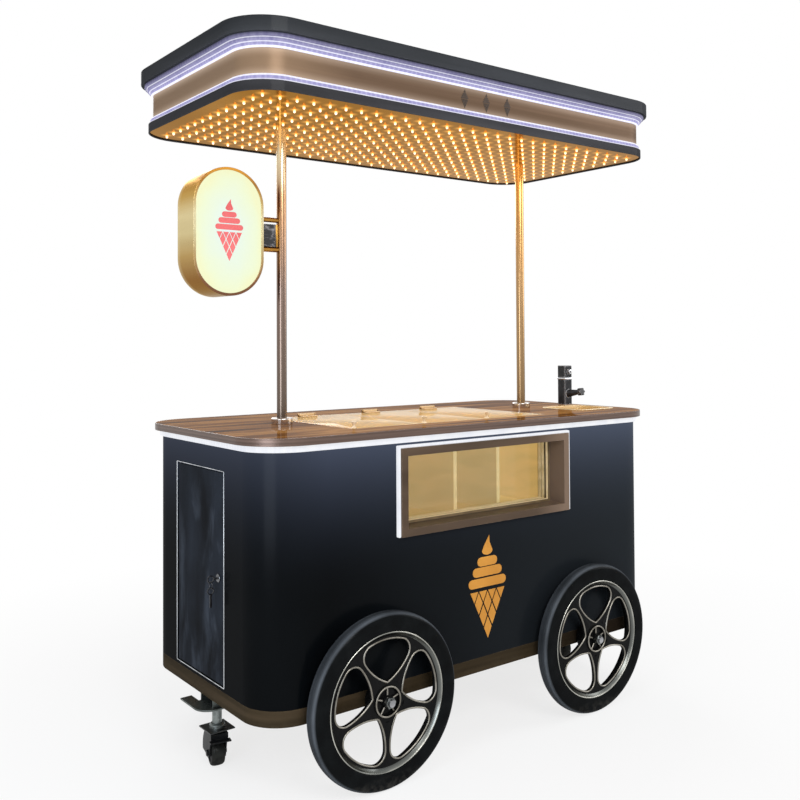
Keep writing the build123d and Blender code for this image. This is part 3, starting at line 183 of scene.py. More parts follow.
def finish(name, look):
    mat, tree, shader = startMaterial(name)
    grain = look.get("stretch", (1, 1, 1))
    x, y, z = axes(tree)
    colour = shades(tree, cloud(tree, look["scale"], 6.0, stretch=grain), look["tones"])
    if "haze" in look:  # another shade towards one end: a painted sheen on the navy panels and the fascia, a painted shadow on the skirt
        start, end, shade = look["haze"]
        colour = blend(tree, fit(tree, x, start, end), colour, shade)
    if "shoulderHighlight" in look:  # painted highlight: a grey band along a tyre's shoulder, where light catches it
        start, peak, end, shade = look["shoulderHighlight"]
        far = hubDistance(tree)
        shoulderLight = times(tree, fit(tree, far, start * mm, peak * mm), fit(tree, far, end * mm, peak * mm))
        patchy = vary(tree, cloud(tree, 9.0, 3.0), 0.55, 1.0)
        colour = blend(tree, times(tree, shoulderLight, patchy), colour, shade)
    if "dust" in look:  # settles low down, in patches
        height = fit(tree, z, look["dustTop"], 0.0)
        speck = fit(tree, cloud(tree, 60.0, 6.0), 0.42, 0.75)
        colour = blend(tree, times(tree, height, speck), colour, look["dust"])
    if "edgeWearAndHighlight" in look:  # rubbed edges, and on the tap a painted highlight along its edges
        edgeMark = fit(tree, cloud(tree, 45.0, 4.0), *look.get("edgeMarkSpread", (0.4, 0.62)))
        edgeMark = times(tree, edgeMask(tree, look.get("edgeMarkReach", 2.5) * mm), edgeMark)
        colour = blend(tree, edgeMark, colour, look["edgeWearAndHighlight"])
    patch = cloud(tree, look.get("patch", 9.0), 4.0)
    sockets = {"Base Color": colour, "Roughness": vary(tree, patch, *look["rough"]),
               "Metallic": look.get("metal", 0.0), "Specular IOR Level": look.get("gloss", 0.5)}
    if "coat" in look:
        sockets.update(lacquer(*look["coat"]))
    if "wash" in look:  # light that a lit strip throws on it, by height
        middle, start, end = look["wash"]
        gap = calc(tree, "ABSOLUTE", calc(tree, "SUBTRACT", z, middle))
        fall = calc(tree, "POWER", fit(tree, gap, start, end), look.get("washPower", 2.0))
        if "washEnds" in look:  # weaker at one end
            fall = times(tree, fall, fit(tree, x, *look["washEnds"]))
        sockets["Emission Color"] = look["washColour"]
        sockets["Emission Strength"] = times(tree, fall, look["washStrength"])
    plug(tree, shader, {**sockets, **look.get("sockets", {})})
    pores = cloud(tree, look.get("pore", 400.0), 2.0, stretch=grain)
    addRelief(tree, shader, pores, look.get("relief", 0.06))
    return mat


# mesh tools, where sections, profiles and edges are in mm and places in metres

def putInScene(name, data):
    placed = bpy.data.objects.new(name, data)
    scene.collection.objects.link(placed)
    return placed


def placeMesh(name, bm, material):
    mesh = bpy.data.meshes.new(name)
    bm.to_mesh(mesh)
    bm.free()
    mesh.materials.append(material)
    return putInScene(name, mesh)


def addPiece(name, bm, material, body, replaces=(), smooth=40):
    bmesh.ops.remove_doubles(bm, verts=bm.verts, dist=weldGap)
    bmesh.ops.recalc_face_normals(bm, faces=bm.faces)
    piece = placeMesh(name, bm, material)
    piece.data.shade_smooth()
    piece.data.set_sharp_from_angle(angle=radians(smooth))
    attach(piece, body)
    if replaces:
        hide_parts(*replaces)


def bridge(bm, rings, closed=True):
    count = len(rings)
    for i in range(count if closed else count - 1):
        ring = rings[i]
        after = rings[(i + 1) % count]
        for k in range(len(ring)):
            n = (k + 1) % len(ring)
            bm.faces.new((ring[k], ring[n], after[n], after[k]))


def lathe(bm, profile, centre, axis, steps):  # profile holds (radius, height) pairs, closed
    turn = alongZ.rotation_difference(axis).to_matrix()
    rings = []
    for i in range(steps):
        angle = 2 * pi * i / steps
        spots = [Vector((r * cos(angle), r * sin(angle), h)) * mm for r, h in profile]
        rings.append([bm.verts.new(Vector(centre) + turn @ spot) for spot in spots])
    bridge(bm, rings)


def sweepLoop(bm, path, up, section):  # section holds (outward, upward) steps from the path
    count = len(path)
    area = sum(((path[i - 1].cross(path[i])).dot(up) for i in range(count)), 0.0)
    if area < 0:
        path = path[::-1]
    rings = []
    for i, point in enumerate(path):
        before = (point - path[i - 1]).normalized().cross(up)
        after = (path[(i + 1) % count] - point).normalized().cross(up)
        out = (before + after) / (1 + before.dot(after))
        rings.append([bm.verts.new(point + (out * u + up * v) * mm) for u, v in section])
    bridge(bm, rings)


def arc(radius, sweep=pi, steps=8, start=0.0):
    turns = [start + sweep * i / steps for i in range(steps + 1)]
    return [(radius * cos(turn), radius * sin(turn)) for turn in turns]


def disc(radius, steps=10):
    return arc(radius, 2 * pi, steps)[1:]


def mirrored(side):  # half a profile and its other half
    return [*side, *((r, -h) for r, h in side[::-1] if h)]


def roundedRect(length, depth, radius, centre, right, up, steps):
    points = []
    for corner, (sx, sy) in enumerate(((1, 1), (-1, 1), (-1, -1), (1, -1))):
        for u, v in arc(radius, pi / 2, steps, corner * pi / 2):
            x = sx * (length / 2 - radius) + u
            y = sy * (depth / 2 - radius) + v
            points.append(centre + right * x + up * y)
    return points


def roundedBox(bm, lo, hi, edge, segments=2):
    lo = Vector(lo)
    size = Vector(hi) - lo
    shape = Matrix.Translation(lo + size / 2) @ Matrix.Diagonal((*size, 1))
    made = bmesh.ops.create_cube(bm, size=1.0, matrix=shape)["verts"]
    edges = list({e for v in made for e in v.link_edges})
    bmesh.ops.bevel(bm, geom=edges, offset=edge * mm, segments=segments, affect="EDGES", profile=0.5)


def slab(bm, outline, out, thickness):  # a flat plate with that outline
    base = [bm.verts.new(point) for point in outline]
    top = [bm.verts.new(point + out * thickness * mm) for point in outline]
    bm.faces.new(base[::-1])
    bm.faces.new(top)
    bridge(bm, [base, top], closed=False)


def faceOutlines(node, level):  # outlines of the flat face that a part has at that Y level
    bm = bmesh.new()
    bm.from_mesh(nodes[node].data)
    bmesh.ops.remove_doubles(bm, verts=bm.verts, dist=weldGap)
    flat = {face for face in bm.faces if all(abs(v.co.y - level) < flatGap for v in face.verts)}
    links = {}
    for face in flat:
        for edge in face.edges:
            if sum(other in flat for other in edge.link_faces) == 1:
                for here, there in (edge.verts, reversed(edge.verts)):
                    links.setdefault(here.index, set()).add(there.index)
    bm.verts.ensure_lookup_table()
    outlines = []
    left = sorted(links)
    while left:
        loop = [left[0]]
        while True:
            ahead = sorted(n for n in links[loop[-1]] if n not in loop)
            if not ahead:
                break
            loop.append(ahead[0])
        left = [n for n in left if n not in loop]
        outlines.append([bm.verts[n].co.copy() for n in loop])
    bm.free()
    return outlines


def dress(material, *names, edge=0.0, segments=2):  # a finish on CAD parts, with softened edges
    for name in names:
        part = nodes[name]
        part.material_slots[0].material = material
        if edge:
            weld = part.modifiers.new("weld", "WELD")
            weld.merge_threshold = flatGap
            flat = part.modifiers.new("flat", "DECIMATE")
            flat.decimate_type = "DISSOLVE"
            flat.angle_limit = radians(0.5)
            bevel = part.modifiers.new("edge", "BEVEL")
            bevel.width = edge * mm
            bevel.segments = segments
            bevel.limit_method = "ANGLE"
            bevel.angle_limit = radians(35)
            part.modifiers.new("shade", "WEIGHTED_NORMAL")


# cabinet panels

# the haze is a painted sheen, paler towards the right end of the panels
navy = {
    "tones": ((4, 5, 6), (6, 8, 10), (9, 11, 13)), "haze": (-0.6, 0.85, (33, 37, 41)),
    "scale": 2.2, "rough": (0.22, 0.34), "patch": 14.0, "pore": 260.0, "relief": 0.02,
    "wash": (0.0, 0.5, 0.97), "washPower": 3.0, "washEnds": (-0.81, -0.6, 0.55, 1.0),
    "washColour": (0.52, 0.64, 1.0, 1.0), "washStrength": 0.1, "coat": (0.08, 0.22),
}
navyPaint = finish("navyPaint", navy)
dress(navyPaint, "front_panel", "left_end_panel", "right_end_panel", "rear_panel", "corner_panels")

# the haze is a painted shadow, darker towards the right wheel
skirt = {
    "tones": ((46, 38, 27), (55, 46, 33), (66, 55, 41)), "haze": (0.25, 0.42, (40, 33, 26)),
    "scale": 5.0, "stretch": (0.3, 0.3, 6.0), "rough": (0.34, 0.48), "pore": 300.0,
    "dust": (84, 77, 64), "dustTop": 0.262, "edgeWearAndHighlight": (96, 82, 60), "coat": (0.06, 0.2),
}
dress(finish("bronzeSkirt", skirt), "skirt_band", edge=0.8)

blackSteel = {
    "tones": ((15, 15, 16), (22, 22, 23)), "scale": 14.0, "rough": (0.38, 0.55),
    "relief": 0.12, "pore": 700.0, "edgeWearAndHighlight": (58, 58, 56), "gloss": 0.06,
}
dress(finish("satinBlack", blackSteel), "chassis_frame", "cabinet_frame", edge=1.0)

board = {
    "tones": ((120, 92, 62), (150, 118, 82), (168, 136, 98)), "scale": 3.0,
    "stretch": (0.5, 9.0, 9.0), "rough": (0.55, 0.7), "relief": 0.2, "gloss": 0.3,
}
dress(finish("sealedBoard", board), "floor_panel", "canopy_frame", edge=0.6)
print("cabinet finished")


# counter

counter = {
    "tones": ((74, 44, 20), (128, 84, 42), (182, 130, 70), (128, 84, 42)), "vein": (62, 38, 20),
    "stretch": (0.55, 7.0, 7.0), "rough": (0.3, 0.42), "coat": (0.16, 0.03),
}


def streakedCounter(look):
    mat, tree, shader = startMaterial("streakedCounter")
    broad = cloud(tree, 1.7, 7.0, 0.8, look["stretch"])
    fine = fit(tree, cloud(tree, 11.0, 8.0, 0.4, look["stretch"]), 0.5, 0.68)
    colour = shades(tree, broad, look["tones"], 0.3, 0.72)
    colour = blend(tree, times(tree, fine, 0.55), colour, look["vein"])
    plug(tree, shader, {"Base Color": colour, "Roughness": fit(tree, fine, 0.0, 1.0, *look["rough"]),
                        **lacquer(*look["coat"])})
    addRelief(tree, shader, broad, 0.02)
    return mat


dress(streakedCounter(counter), "counter_top")

edgeBand = {
    "tones": ((82, 67, 61), (97, 80, 72), (112, 93, 84)), "scale": 3.0, "stretch": (0.4, 0.4, 60.0),
    "rough": (0.3, 0.42), "edgeWearAndHighlight": (150, 132, 120), "metal": 0.75,
}
dress(finish("edgeMetal", edgeBand), "counter_edge_band", edge=0.9)

ledPitch = 16.7
coolStrip = {"glow": (244, 245, 247), "dim": (216, 220, 232), "strength": 0.85, "dots": 0.2}


def litStrip(name, look):  # a diffuser with faint dots along its run
    mat, tree, shader = startMaterial(name)
    x, y, z = axes(tree)
    dots = [calc(tree, "PINGPONG", calc(tree, "DIVIDE", run, ledPitch * mm), 0.5) for run in (x, y)]
    near = fit(tree, calc(tree, "MINIMUM", *dots), 0.0, 0.34, 0.0, look.get("dots", 0.5))
    haze = cloud(tree, 24.0, 4.0)
    shade = calc(tree, "ADD", near, vary(tree, haze, 0.0, 0.45))
    colour = blend(tree, shade, look["glow"], look["dim"])
    strength = look["strength"]
    if "fade" in look:  # dimmer towards its top
        strength = fit(tree, z, *look["fade"], strength, 0.12)
    plug(tree, shader, {"Base Color": blend(tree, 0.85, colour, (40, 40, 46)), "Emission Color": colour,
                        "Emission Strength": strength, "Roughness": vary(tree, haze, 0.4, 0.55),
                        "Specular IOR Level": 0.1})
    return mat


dress(litStrip("coolStrip", coolStrip), "counter_led_strips", edge=3.0, segments=3)
print("counter finished")


# window

windowBronze = {
    "tones": ((70, 57, 46), (80, 66, 54), (90, 74, 61)), "scale": 4.0, "stretch": (0.6, 8.0, 3.0),
    "haze": (0.2, 0.335, (118, 99, 84)), "rough": (0.3, 0.44), "edgeWearAndHighlight": (138, 118, 98),
    "metal": 0.2, "gloss": 0.08,
}
dress(finish("windowBronze", windowBronze), "window_frame", edge=1.2)


def clearGlass(name, tints, roughness, clear=1.0, gloss=0.5, bend=1.45):
    mat, tree, shader = startMaterial(name)
    smear = cloud(tree, 7.0, 6.0, 0.6, (1, 1, 3))
    plug(tree, shader, {"Base Color": shades(tree, smear, tints),
                        "Roughness": fit(tree, smear, 0.45, 0.75, *roughness),
                        "Transmission Weight": clear, "Specular IOR Level": gloss, "IOR": bend})
    return mat


paneTints = ((244, 248, 246), (252, 253, 252))
dress(clearGlass("paneGlass", paneTints, (0.0, 0.02), bend=1.2), "window_glass")

glow = {
    "tones": ((170, 136, 80), (177, 143, 85), (184, 150, 91)), "unlit": (60, 50, 34), "strength": 0.78,
    "fade": (0.69, 0.99), "along": (0.16, 0.36, 0.97, 1.6), "rough": (0.3, 0.5),
}


def litLining(name, look):  # warm lining, lit from the rim above and brighter at the right
    mat, tree, shader = startMaterial(name)
    x, y, z = axes(tree)
    haze = cloud(tree, 3.4, 5.0)
    colour = shades(tree, haze, look["tones"])
    rise = fit(tree, z, *look["fade"], 0.9 * look["strength"], 1.1 * look["strength"])
    strength = times(tree, rise, fit(tree, x, *look["along"]))
    plug(tree, shader, {"Base Color": blend(tree, 0.75, colour, look["unlit"]), "Emission Color": colour,
                        "Emission Strength": strength,
                        "Roughness": vary(tree, haze, *look["rough"])})
    addRelief(tree, shader, cloud(tree, 500.0, 2.0), 0.05)
    return mat


dress(litLining("warmLining", glow), "well_liner", edge=1.0)
pale = dict(glow, tones=((184, 152, 96), (192, 161, 105)))
dress(litLining("paleDivider", pale), "well_dividers", edge=1.5)

channel = {
    **glow, "tones": ((214, 184, 126), (224, 196, 142)), "strength": 0.9, "lap": 2.0, "wall": 0.4,
    "inset": 10.0, "edge": 0.5,
}


def dividerEdges(look):  # pale channel over the front edge of each divider
    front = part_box("well_dividers")[0].y
    glassLo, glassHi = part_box("window_glass")
    inset = look["inset"] * mm
    wall = look["wall"] * mm
    sides = sorted({round(v.co.x, 4) for v in nodes["well_dividers"].data.vertices})
    edges = bmesh.new()
    for left, right in (sides[:2], sides[-2:]):
        roundedBox(edges, (left - wall, front - wall, glassLo.z + inset),
                   (right + wall, front + look["lap"] * mm, glassHi.z - inset), look["edge"])
    addPiece("divider_channels", edges, litLining("creamChannel", look), "cart")


dividerEdges(channel)

bead = {
    "width": 9.0, "depth": 9.0, "cut": 1.5, "seal": 2.0, "pane": 5.0, "frameBar": 24.0, "gap": 0.2,
    "tones": ((178, 154, 112), (198, 176, 136), (214, 196, 160)), "scale": 6.0, "stretch": (0.5, 6.0, 6.0),
    "rough": (0.3, 0.42), "gloss": 0.3, "wash": (0.0, 0.0, 1.0), "washColour": (206, 180, 128),
    "washStrength": 0.35,
}
sealRubber = {"tones": ((96, 80, 56), (120, 101, 72)), "scale": 30.0, "rough": (0.6, 0.75), "gloss": 0.3}


def glazing(look):
    lo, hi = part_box("window_frame")
    glassLo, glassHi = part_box("window_glass")
    middle = (lo + hi) / 2
    inset = (look["frameBar"] + look["gap"]) * mm
    half = ((hi.x - lo.x) / 2 - inset, (hi.z - lo.z) / 2 - inset)
    seal = look["seal"]
    behind = (look["pane"] + seal) * mm
    inner = (glassLo.y + behind, glassHi.y - behind)
    halfway = sum(inner) / 2
    split = seal / 2 * mm
    ahead = glassLo.y - seal * mm
    spans = ((ahead - look["depth"] * mm, ahead), (inner[0], halfway - split), (halfway + split, inner[1]))
    beads = bmesh.new()
    seals = bmesh.new()
    for front, back in spans:
        corners = [Vector((middle.x + sx * half[0], front, middle.z + sz * half[1]))
                   for sx, sz in ((1, 1), (-1, 1), (-1, -1), (1, -1))]
        deep = (back - front) / mm
        cut = look["cut"]
        lip = cut - look["width"]
        sweepLoop(beads, corners, alongY, [(0, 0), (0, deep), (lip, deep), (lip - cut, deep - cut),
                                           (lip - cut, cut), (lip, 0)])
        for start in ((-seal, deep) if front < halfway else (deep,)):
            end = start + seal
            sweepLoop(seals, corners, alongY, [(0, start), (0, end), (lip, end), (lip, start)])
    addPiece("glazing_beads", beads, finish("glazingBead", look), "cart")
    addPiece("glazing_seals", seals, finish("glazingSeal", sealRubber), "cart")


glazing(bead)
print("window glazed")


# lids over the well

lid = {
    "thickness": 6.0, "depth": 490.0, "edge": 1.6, "knobInset": 10.0, "knobRadius": 8.0,
    "knobHeight": 22.0, "barrel": 5.0, "bore": 2.1, "lip": 0.6, "length": 60.0, "leaf": 26.0,
    "leafThickness": 3.0, "leafGap": 0.05, "screwPlaces": (0.2, 0.8), "screwBack": 0.68,
    "screw": ((0, 0), (3.6, 0), (3.4, 0.7), (2.2, 1.3), (0.8, 1.4), (0.5, 0.9), (0, 0.9)),
    "tints": ((255, 220, 146), (255, 230, 182)),
}
knobBrass = {
    "tones": ((236, 208, 164), (252, 236, 208)), "scale": 30.0, "rough": (0.12, 0.24), "metal": 0.25,
}
hingeCream = {
    "tones": ((216, 182, 132), (236, 206, 160)), "scale": 60.0, "stretch": (0.2, 1, 1),
    "rough": (0.3, 0.44), "metal": 0.1,
}


def lids(look):
    glass = clearGlass("lidGlass", look["tints"], (0.03, 0.1), 0.6, 0.0, 1.08)
    brass = finish("knobBrass", knobBrass)
    cream = finish("hingeCream", hingeCream)
    r = look["knobRadius"]
    h = look["knobHeight"]
    turned = [(0, 0), (r, 0), (r, 2), (0.55 * r, 4), (0.5 * r, 0.45 * h), (0.75 * r, 0.62 * h),
              (r, 0.76 * h), (r, 0.9 * h), (0.7 * r, h), (0, h)]
    bore = look["bore"]
    lip = look["lip"]
    barrel = look["barrel"]
    length = look["length"]
    tube = [(bore, 0), (barrel - lip, 0), (barrel, lip), (barrel, length - lip), (barrel - lip, length),
            (bore, length)]
    for side in ("left", "middle", "right"):
        lo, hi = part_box("lid_" + side)
        body = side + "_lid"
        top = lo.z + look["thickness"] * mm
        plate = bmesh.new()
        roundedBox(plate, lo, (hi.x, lo.y + look["depth"] * mm, top), look["edge"], 3)
        addPiece("lid_glass_" + side, plate, glass, body, ["lid_" + side])

        inset = look["knobInset"] * mm
        knob = bmesh.new()
        lathe(knob, turned, (lo.x + inset, lo.y + inset, top), alongZ, 32)
        addPiece("lid_knob_" + side, knob, brass, body)

        start = Vector(((lo.x + hi.x - length * mm) / 2, hi.y - barrel * mm, jointOf[body]["pos_m"][2]))
        leaf = look["leaf"] * mm
        leafTop = top + look["leafThickness"] * mm
        hinge = bmesh.new()
        lathe(hinge, tube, start, alongX, 32)
        roundedBox(hinge, (start.x, start.y - leaf, top + look["leafGap"] * mm),
                   (start.x + length * mm, start.y, leafTop), lip)
        for share in look["screwPlaces"]:  # screw heads on the leaf
            place = (start.x + share * length * mm, start.y - look["screwBack"] * leaf, leafTop)
            lathe(hinge, look["screw"], place, alongZ, 20)
        addPiece("lid_hinge_" + side, hinge, cream, body)


lids(lid)

brushed = {
    "tones": ((126, 127, 130), (158, 159, 162), (184, 185, 188)), "scale": 26.0,
    "stretch": (0.1, 1.0, 1.0), "rough": (0.2, 0.34), "pore": 900.0, "metal": 1.0,
}
warm = dict(brushed, tones=((150, 118, 78), (182, 148, 102), (206, 172, 124)))
# the sink bowl's gold tone paints a warm reflection on the steel
bowl = dict(brushed, tones=((214, 182, 126), (236, 208, 154), (250, 228, 184)), metal=0.4)
dress(finish("warmSteel", warm), "well_rim", edge=0.8)
dress(finish("warmReflectionSteel", bowl), "sink_bowl", edge=0.8)
dress(finish("brushedSteel", brushed), "wheel_axles", "hinge_pins")
print("lids in place")


# sink and tap

# the edge marks on the tap and its knob are painted highlights along their edges
tapLook = {
    "tones": ((28, 29, 31), (52, 53, 56)), "scale": 50.0, "rough": (0.12, 0.24), "relief": 0.02,
    "edgeWearAndHighlight": (214, 214, 218), "edgeMarkReach": 6.0, "edgeMarkSpread": (0.0, 0.2), "gloss": 0.2,
}
dress(finish("tapBlack", tapLook), "tap_column", "tap_head", edge=1.2)
dress(finish("knobBlack", dict(tapLook, edgeMarkSpread=(0.5, 0.7))), "tap_knob", edge=1.2)

collar = {
    "bulge": 1.2, "corner": 7.0, "height": 6.0, "nozzleGap": 0.02, "wasteRadius": 26.0, "wasteDrop": 122.0,
    "nozzle": ((4.0, 0), (8.6, 0), (8.8, 1.2), (7.4, 2.2), (5.4, 2.2), (4.6, 1.0)),
}
tapChrome = {
    "tones": ((196, 198, 202), (226, 228, 230)), "scale": 40.0, "rough": (0.06, 0.14), "metal": 1.0,
}


def tapTrim(look):
    chrome = finish("tapChrome", tapChrome)
    lo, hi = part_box("tap_column")
    side = hi.x - lo.x
    half = look["height"] / 2
    middle = Vector(((lo.x + hi.x) / 2, hi.y - side / 2, hi.z - half * mm))
    path = roundedRect(side, side, look["corner"] * mm, middle, alongX, alongY, 6)
    swell = look["bulge"]
    ring = bmesh.new()
    sweepLoop(ring, path, alongZ, [(0.0, -half), (0.7 * swell, -0.7 * half), (swell, 0.0),
                                   (0.7 * swell, 0.7 * half), (0.0, half), (-0.3, 0.0)])
    addPiece("tap_collar_ring", ring, chrome, "cart")

    headLo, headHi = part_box("tap_head")
    mouth = (middle.x, headLo.y - look["nozzleGap"] * mm, (headHi.z + hi.z) / 2)
    outlet = bmesh.new()  # ringed nozzle in the outlet
    lathe(outlet, look["nozzle"], mouth, -alongY, 32)
    addPiece("tap_nozzle", outlet, chrome, "swivel_head")

    lo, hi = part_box("sink_bowl")
    r = look["wasteRadius"]
    cup = [(0, 0), (r, 0), (r, 1.0), (r - 2, 2.0), (r - 6, 1.6), (r - 9, 0.6), (6, 0.6), (4, 2.2),
           (0, 2.6)]
    spot = ((lo.x + hi.x) / 2, (lo.y + hi.y) / 2, hi.z - look["wasteDrop"] * mm)
    drain = bmesh.new()
    lathe(drain, cup, spot, alongZ, 40)
    addPiece("sink_waste", drain, chrome, "cart")


tapTrim(collar)
print("sink and tap in place")


# end door with its lock and keys, and the rear doors

doorSkin = {
    "tones": ((20, 22, 26), (38, 43, 51)), "chalk": (124, 134, 150), "amount": 0.75, "rough": (0.2, 0.6),
    "coat": (0.06, 0.12),
}


def smudgedBlack(name, look):
    mat, tree, shader = startMaterial(name)
    cloudy = cloud(tree, 5.5, 4.0, 0.2, (1, 1.6, 0.7))
    wipe = cloud(tree, 3.4, 5.0, 0.5, (1, 2.2, 0.9))
    chalk = times(tree, fit(tree, wipe, 0.48, 0.8), fit(tree, cloudy, 0.36, 0.7))
    colour = shades(tree, cloudy, look["tones"])
    colour = blend(tree, times(tree, chalk, look["amount"]), colour, look["chalk"])
    plug(tree, shader, {"Base Color": colour, "Roughness": fit(tree, chalk, 0.0, 0.5, *look["rough"]),
                        **lacquer(*look["coat"])})
    addRelief(tree, shader, cloud(tree, 240.0, 2.0), 0.03)
    return mat


dress(smudgedBlack("smudgedBlack", doorSkin), "end_door", edge=0.8)
dress(smudgedBlack("rearBlack", dict(doorSkin, amount=0.2)), "rear_door_left", "rear_door_right", edge=0.8)

dress(navyPaint, "end_door_trim", edge=0.7)
trim = {
    "radius": 1.3, "inset": 2.6, "corner": 2.0, "stretch": (1, 1, 0.1),
    "tones": ((150, 153, 157), (198, 201, 205), (226, 229, 232)),
}


def doorBead(look):  # bright bead laid round the door's opening
    bright = finish("beadBright", {**brushed, **look})
    lo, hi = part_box("end_door_trim")
    inset = look["inset"] * mm
    middle = Vector((lo.x, (lo.y + hi.y) / 2, (lo.z + hi.z) / 2))
    path = roundedRect(hi.y - lo.y - 2 * inset, hi.z - lo.z - 2 * inset, look["corner"] * mm, middle,
                       alongY, alongZ, 4)
    line = bmesh.new()
    sweepLoop(line, path, -alongX, arc(look["radius"]))
    addPiece("door_bead", line, bright, "cart")


doorBead(trim)

lock = {
    "barrel": 9.0, "flange": 12.0, "flangeHeight": 3.0, "camLength": 46.0, "camWidth": 12.0,
    "camDepth": 2.5, "bow": 11.0, "bowHole": 8.0, "shank": 10.0, "keyThickness": 2.5, "neckWidth": 7.0,
    "ring": 10.0, "ringWire": 0.9, "blade": 36.0, "gap": 0.02, "camEdge": 0.5, "keyEdge": 0.4,
}
lockPlate = {"tones": ((64, 65, 68), (128, 130, 134)), "scale": 40.0, "rough": (0.1, 0.22), "metal": 1.0}
darkKey = {"tones": ((46, 46, 48), (84, 84, 86)), "scale": 60.0, "rough": (0.2, 0.36), "metal": 0.9}


def oneKey(bm, look, eye, toward, length):  # eye is the middle of the bow's hole
    half = look["keyThickness"] / 2
    bow = look["bow"]
    lathe(bm, mirrored([(look["bowHole"], half), (bow - 0.6, half), (bow, 0.4 * half)]), eye, alongY, 40)
    across = toward.cross(alongY)
    wide = look["neckWidth"] / 2
    spots = [eye + (toward * d + across * w + alongY * t) * mm for d in (0.8 * bow, bow + length)
             for w in (-wide, wide) for t in (-0.8 * half, 0.8 * half)]
    corners = [[pick(spot[i] for spot in spots) for i in range(3)] for pick in (min, max)]
    roundedBox(bm, *corners, look["keyEdge"])


def lockAndKeys(look):
    dark = finish("darkKey", darkKey)
    lo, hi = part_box("door_lock")
    y, z = jointOf["lock"]["pos_m"][1:]
    faceX = lo.x + (2 * look["bow"] + look["shank"]) * mm  # outer face of the flange
    deep = (hi.x - faceX) / mm
    flange = look["flange"]
    tall = look["flangeHeight"]
    barrel = look["barrel"]
    turned = [(0, 0.6), (5.6, 0.6), (6.2, 0), (flange - 1.2, 0), (flange, 1.2), (flange, tall),
              (barrel, tall), (barrel, deep), (0, deep)]
    body = bmesh.new()
    lathe(body, turned, (faceX, y, z), alongX, 48)
    cam = look["camWidth"] / 2 * mm
    roundedBox(body, (hi.x - look["camDepth"] * mm, y - cam, z - look["camLength"] * mm),
               (hi.x - look["gap"] * mm, y + cam, z + cam), look["camEdge"])
    addPiece("lock_cylinder", body, finish("lockPlate", lockPlate), "lock", ["door_lock"])

    eye = Vector((lo.x + look["bow"] * mm, y, z))
    key = bmesh.new()
    oneKey(key, look, eye, alongX, look["shank"])
    addPiece("lock_key", key, dark, "lock")
    wire = look["ringWire"]
    drop = (look["bowHole"] - wire - 0.1 + look["ring"]) * mm  # the wire rests low in the bow's hole
    hung = bmesh.new()
    lathe(hung, [(look["ring"] + u, v) for u, v in disc(wire, 8)], eye - alongZ * drop, alongX, 40)
    oneKey(hung, look, eye - alongZ * 2 * drop, -alongZ, look["blade"])
    addPiece("key_ring", hung, dark, "door")


lockAndKeys(lock)
print("doors in place")


# canopy

slate = {
    "tones": ((46, 48, 51), (54, 56, 59), (62, 64, 68)), "scale": 3.0, "stretch": (0.4, 0.4, 5.0),
    "rough": (0.3, 0.45), "edgeWearAndHighlight": (84, 84, 90), "edgeMarkReach": 3.0, "coat": (0.06, 0.12),
}
rim = dict(slate, tones=((50, 50, 52), (58, 58, 61), (67, 67, 70)))
dress(finish("capSlate", slate), "canopy_cap", edge=1.5)
dress(finish("rimSlate", rim), "canopy_rim", edge=2.0, segments=3)

# the haze is a painted sheen, paler towards the left end and corner
fascia = {
    "tones": ((95, 76, 60), (102, 82, 66), (110, 89, 72)), "haze": (-0.5, -0.85, (143, 118, 94)),
    "scale": 2.6, "stretch": (0.35, 0.35, 30.0), "rough": (0.32, 0.42), "pore": 300.0, "relief": 0.02,
    "wash": (2.04, 0.008, 0.042), "washColour": (0.92, 0.76, 0.62, 1.0), "washStrength": 0.4,
    "metal": 0.2, "coat": (0.05, 0.25),
}
dress(finish("fasciaBronze", fascia), "canopy_fascia", edge=0.5)

lavender = {"glow": (190, 186, 228), "dim": (138, 134, 190), "strength": 0.8, "fade": (2.084, 2.109)}
dress(litStrip("lavenderStrip", lavender), "canopy_led_strips", edge=1.0)

tubes = {
    "upper": ((0, 3.4, 1.05), (9, 1.7, 0.85), (18, 1.4, 0.7)),  # step reach, radius, brightness
    "lower": ((0, 3.0, 1.0), (9, 1.8, 0.8)),
    "stepHeight": 9.5, "stripHeight": 13.0, "corner": 112.0,
    "glow": (244, 245, 255), "dim": (222, 220, 246),
}


def neonTubes(look):
    lo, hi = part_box("canopy_fascia")
    size = hi - lo
    rows = (("upper", hi.z, look["stepHeight"], -1), ("lower", lo.z, -look["stripHeight"], 1))
    for row, level, step, side in rows:
        for i, (reach, radius, bright) in enumerate(look[row]):
            name = f"canopy_tube_{row}_{i}"
            out = (reach + radius) * mm
            middle = Vector((0, 0, level + (i * step + side * radius) * mm))
            path = roundedRect(size.x + 2 * out, size.y + 2 * out, look["corner"] * mm + out, middle,
                               alongX, alongY, 16)
            tube = bmesh.new()
            sweepLoop(tube, path, alongZ, disc(radius))
            addPiece(name, tube, litStrip(name, dict(look, strength=bright)), "cart")


neonTubes(tubes)

ceiling = {
    "tones": ((138, 97, 52), (152, 109, 61), (166, 125, 76)), "pitch": 55.0, "columns": 29, "rows": 13,
    "edgeTint": (224, 198, 166), "halo": (255, 176, 76), "haloStrength": 0.6, "bulbRadius": 5.2,
    "bulbTones": ((0.0, (255, 238, 216)), (0.6, (255, 222, 160)), (1.0, (255, 180, 92))),  # tip to foot
    "bulbSide": (255, 164, 62), "bulbStrength": (1.4, 0.4),
}


